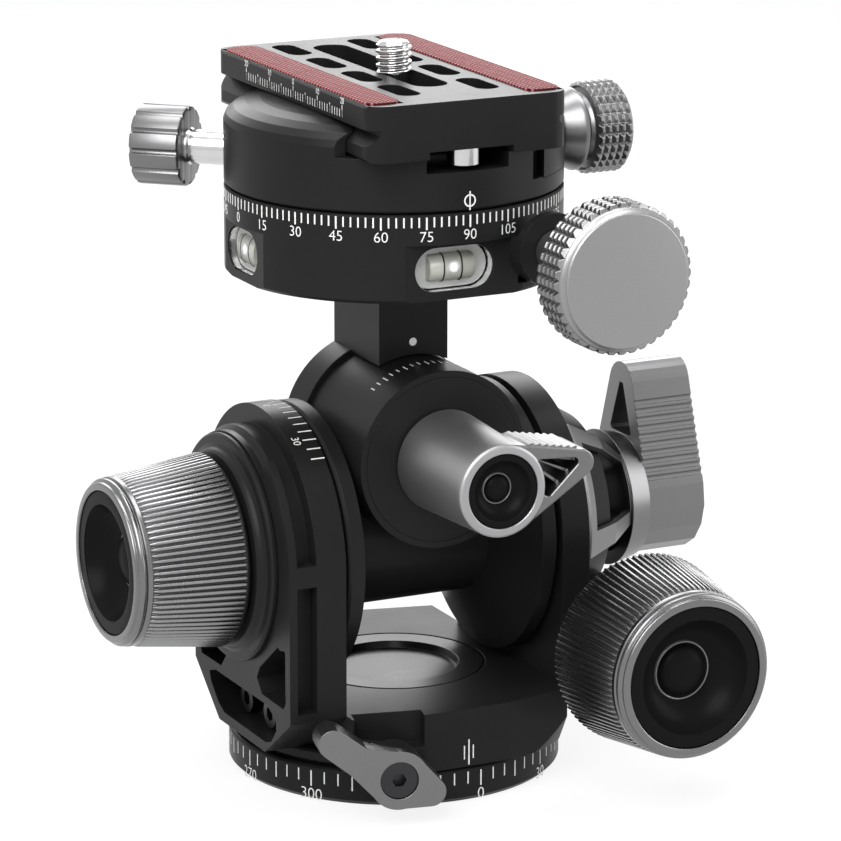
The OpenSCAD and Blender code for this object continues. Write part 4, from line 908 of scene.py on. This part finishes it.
class Scales(bpy.types.Operator):
    """Print the angle scales, the plate's ruler and the index marks"""

    bl_idname = "head.scales"
    bl_label = "Printed scales"

    def turned(self, degrees):
        return Matrix.Rotation(math.radians(degrees), 4, "Z")

    def execute(self, context):
        lift = context.scene.head_sizes.print_height / MM
        numbers = [(a, str(a), 1.9, 2.35) for a in range(0, 360, 15) if a != 240]
        pan = ring_scale(BASE_R, 105.78, ((15, 0, 2.15, 0.3), (2.5, 15, 1.75, 0.27)), numbers, lift, 180.0)
        dot = moved(slab(polygon(0.72, 32), [], 0.0, lift, lift * 0.2), facing("front", (-0.1, -8.0, 78.65)))
        piece("rotor_print", joined(pan, dot), "rotor", ("print",))

        numbers = [(a, str(a), 2.2, 3.15) for a in range(0, 360, 30)]
        base = ring_scale(BASE_R, 5.45, ((15, 0, 2.9, 0.26), (5, 15, 2.2, 0.24)), numbers, lift, 275.1)
        piece("base_print", base, "base", ("print",))

        front = facing("front", (0, -30.4, 0))
        marks = [box(-0.13, 0.13, 6.9, 11.6, -0.01, lift), box(-1.0, -0.78, 8.0, 10.5, -0.01, lift),
                 box(0.74, 0.96, 8.0, 10.5, -0.01, lift)]
        back = 0.6
        arm = [moved(tick(ARM_R, 0.24, 21.2, 23.8, lift), self.turned(5 * i - back)) for i in range(-8, 9)]
        for degrees in (-30, 0, 30):
            label = shifted(figures(str(abs(degrees)), 1.5, lift), 0, 0.75, 0)
            for vert in label.verts:
                turn = math.radians(degrees - back) - vert.co.x / ARM_R
                reach = ARM_R + vert.co.z
                vert.co = Vector((reach * math.cos(turn), reach * math.sin(turn), 24.95 - vert.co.y))
            arm.append(label)
        band = moved(joined(*arm), facing("left", (0, 0, PITCH_Z)) @ self.turned(180))
        piece("yoke_print", joined(moved(joined(*marks), front), band), "yoke", ("print",))

        roll = [moved(tick(FRONT_R, 0.24, 12.2, 13.6 if i % 3 else 14.2, lift), self.turned(90 + 5 * i))
                for i in range(-8, 9)]
        piece("roll_print", moved(joined(*roll), facing("front", (0, 0, ROLL_Z))), "cross_barrel",
              ("print",))

        hoop = revolved([(0.86, 0), (1.12, 0), (1.12, lift), (0.86, lift)], 40, closed=True)
        shifted(hoop, 0, 0.1, 0)
        index = joined(hoop, box(-0.12, 0.12, -1.55, 1.7, -0.01, lift))
        for vert in index.verts:
            turn = math.radians(269.85) + vert.co.x / BASE_R
            reach = BASE_R + vert.co.z + 0.01
            vert.co = Vector((reach * math.cos(turn), reach * math.sin(turn), 108.15 + vert.co.y))
        piece("clamp_print", index, "clamp", ("print",))

        ruler = []
        for half, height, count, step, first in ((0.09, 1.35, 41, 1.0, -20), (0.1, 1.75, 4, 10.0, -15),
                                                 (0.11, 2.15, 5, 10.0, -20)):
            mark = box(-half, half, 0, height, -0.01, lift)
            ruler.append(shifted(rows_of(mark, "print", count, slide=(step, 0, 0)), first, 0, 0))
        for number in (-20, -10, 0, 10, 20):
            ruler.append(shifted(figures(str(abs(number)), 1.15, lift), number, 3.5, 0))
        piece("plate_print", moved(joined(*ruler), reading_left((-19.0, 0.85, 122.3))), "plate",
              ("print",))
        return {"FINISHED"}


class Studio(bpy.types.Operator):
    """Set up the camera, the soft lights and the pale floor"""

    bl_idname = "head.studio"
    bl_label = "Studio"

    def softbox(self, name, way, distance, width, height, power):
        """A soft rectangular light that looks at the middle of the head."""
        light = bpy.data.lights.new(name, "AREA")
        light.shape = "RECTANGLE"
        light.size, light.size_y = width, height
        light.energy = power
        lamp = bpy.data.objects.new(name, light)
        toward = Vector(way).normalized()
        lamp.location = toward * distance + Vector((0, 0, 0.065))
        lamp.rotation_euler = toward.to_track_quat("Z", "Y").to_euler()
        bpy.context.scene.collection.objects.link(lamp)

    def seen(self, tree, plain, white):
        """Mixes in plain white for rays from the camera, a gloss or a glass."""
        path = tree.nodes.new("ShaderNodeLightPath").outputs
        either = path["Is Camera Ray"]
        for ray in ("Is Glossy Ray", "Is Transmission Ray"):
            both = tree.nodes.new("ShaderNodeMath")
            both.operation = "MAXIMUM"
            tree.links.new(either, both.inputs[0])
            tree.links.new(path[ray], both.inputs[1])
            either = both.outputs[0]
        mixer = tree.nodes.new("ShaderNodeMixShader")
        tree.links.new(either, mixer.inputs[0])
        tree.links.new(plain, mixer.inputs[1])
        tree.links.new(white, mixer.inputs[2])
        return mixer.outputs[0]

    def execute(self, context):
        scene = context.scene
        scene.view_settings.view_transform = "Standard"
        world = bpy.data.worlds.new("studio")
        scene.world = world
        world.use_nodes = True
        tree = world.node_tree
        tree.nodes.clear()
        dim = self.even_light(tree, "ShaderNodeBackground", 0.42)
        bright = self.even_light(tree, "ShaderNodeBackground", 1.0)
        end = tree.nodes.new("ShaderNodeOutputWorld")
        tree.links.new(self.seen(tree, dim.outputs[0], bright.outputs[0]), end.inputs[0])
        self.lay_floor(scene)
        self.softbox("key_light", (-0.75, -0.75, 0.95), 0.75, 0.55, 0.55, 7.5)
        self.softbox("fill_light", (1.1, -0.55, 0.35), 0.8, 0.35, 0.75, 3.2)
        self.softbox("top_light", (0.1, 0.15, 1.0), 0.7, 0.6, 0.35, 4.5)
        self.softbox("back_light", (0.4, 1.0, 0.55), 0.8, 0.7, 0.4, 4.0)
        self.set_camera(scene)
        return {"FINISHED"}

    def even_light(self, tree, kind, strength):
        """A plain white background or glow."""
        made = tree.nodes.new(kind)
        made.inputs["Color"].default_value = (1, 1, 1, 1)
        made.inputs["Strength"].default_value = strength
        return made

    def lay_floor(self, scene):
        """A wide pale disc just under the base, which keeps the head's shadow."""
        floor_mesh = bpy.data.meshes.new("floor")
        shape = bmesh.new()
        bmesh.ops.create_circle(shape, cap_ends=True, segments=96, radius=4.0)
        bmesh.ops.translate(shape, vec=(0, 0, -0.00005), verts=shape.verts)
        shape.to_mesh(floor_mesh)
        shape.free()
        floor = bpy.data.objects.new("floor", floor_mesh)
        scene.collection.objects.link(floor)
        material = bpy.data.materials.new("floor")
        material.use_nodes = True
        tree = material.node_tree
        tree.nodes.clear()
        paint = tree.nodes.new("ShaderNodeBsdfDiffuse")
        paint.inputs["Color"].default_value = (0.86, 0.86, 0.86, 1)
        glow = self.even_light(tree, "ShaderNodeEmission", 1.0)
        blend = tree.nodes.new("ShaderNodeMixShader")
        blend.inputs[0].default_value = 0.86
        tree.links.new(paint.outputs[0], blend.inputs[1])
        tree.links.new(glow.outputs[0], blend.inputs[2])
        end = tree.nodes.new("ShaderNodeOutputMaterial")
        tree.links.new(self.seen(tree, paint.outputs[0], blend.outputs[0]), end.inputs[0])
        floor_mesh.materials.append(material)

    def set_camera(self, scene):
        """The viewpoint from which the head is seen in the studio."""
        camera_data = bpy.data.cameras.new("camera")
        camera = bpy.data.objects.new("camera", camera_data)
        scene.collection.objects.link(camera)
        turn, rise = math.radians(-25.8), math.radians(14.795)
        back = Vector((math.sin(turn) * math.cos(rise), -math.cos(turn) * math.cos(rise), math.sin(rise)))
        camera.location = Vector((0, 0, 0.06235)) + back * 0.77857
        camera.rotation_euler = back.to_track_quat("Z", "Y").to_euler()
        camera_data.sensor_width = 36.0
        camera_data.lens = 186.2
        camera_data.shift_x = 0.0318
        camera_data.clip_start = 0.01
        scene.camera = camera


class HeadPanel(bpy.types.Panel):
    """Sizes, colours and steps of the head"""

    bl_idname = "VIEW3D_PT_geared_head"
    bl_label = "Geared Tripod Head"
    bl_space_type = "VIEW_3D"
    bl_region_type = "UI"
    bl_category = "Head"

    def draw(self, context):
        for group in (context.scene.head_sizes, context.scene.head_colours):
            for name in group.__annotations__:
                self.layout.prop(group, name)
        for step in STEPS:
            self.layout.operator(step.bl_idname)


STEPS = (FinishSolids, DriveKnobs, KnurledKnobs, FrontLever, CameraPlate, Levels, Scales, Studio)
CLASSES = (HeadSizes, HeadColours) + STEPS + (HeadPanel,)


def register():
    for kind in CLASSES:
        bpy.utils.register_class(kind)
    bpy.types.Scene.head_sizes = bpy.props.PointerProperty(type=HeadSizes)
    bpy.types.Scene.head_colours = bpy.props.PointerProperty(type=HeadColours)


def unregister():
    del bpy.types.Scene.head_colours
    del bpy.types.Scene.head_sizes
    for kind in reversed(CLASSES):
        bpy.utils.unregister_class(kind)


def main():
    """Runs every step in order."""
    register()
    bpy.ops.head.finish_solids()
    bpy.ops.head.drive_knobs()
    bpy.ops.head.knurled_knobs()
    bpy.ops.head.front_lever()
    bpy.ops.head.camera_plate()
    bpy.ops.head.levels()
    bpy.ops.head.scales()
    bpy.ops.head.studio()


if __name__ == "__main__":
    main()
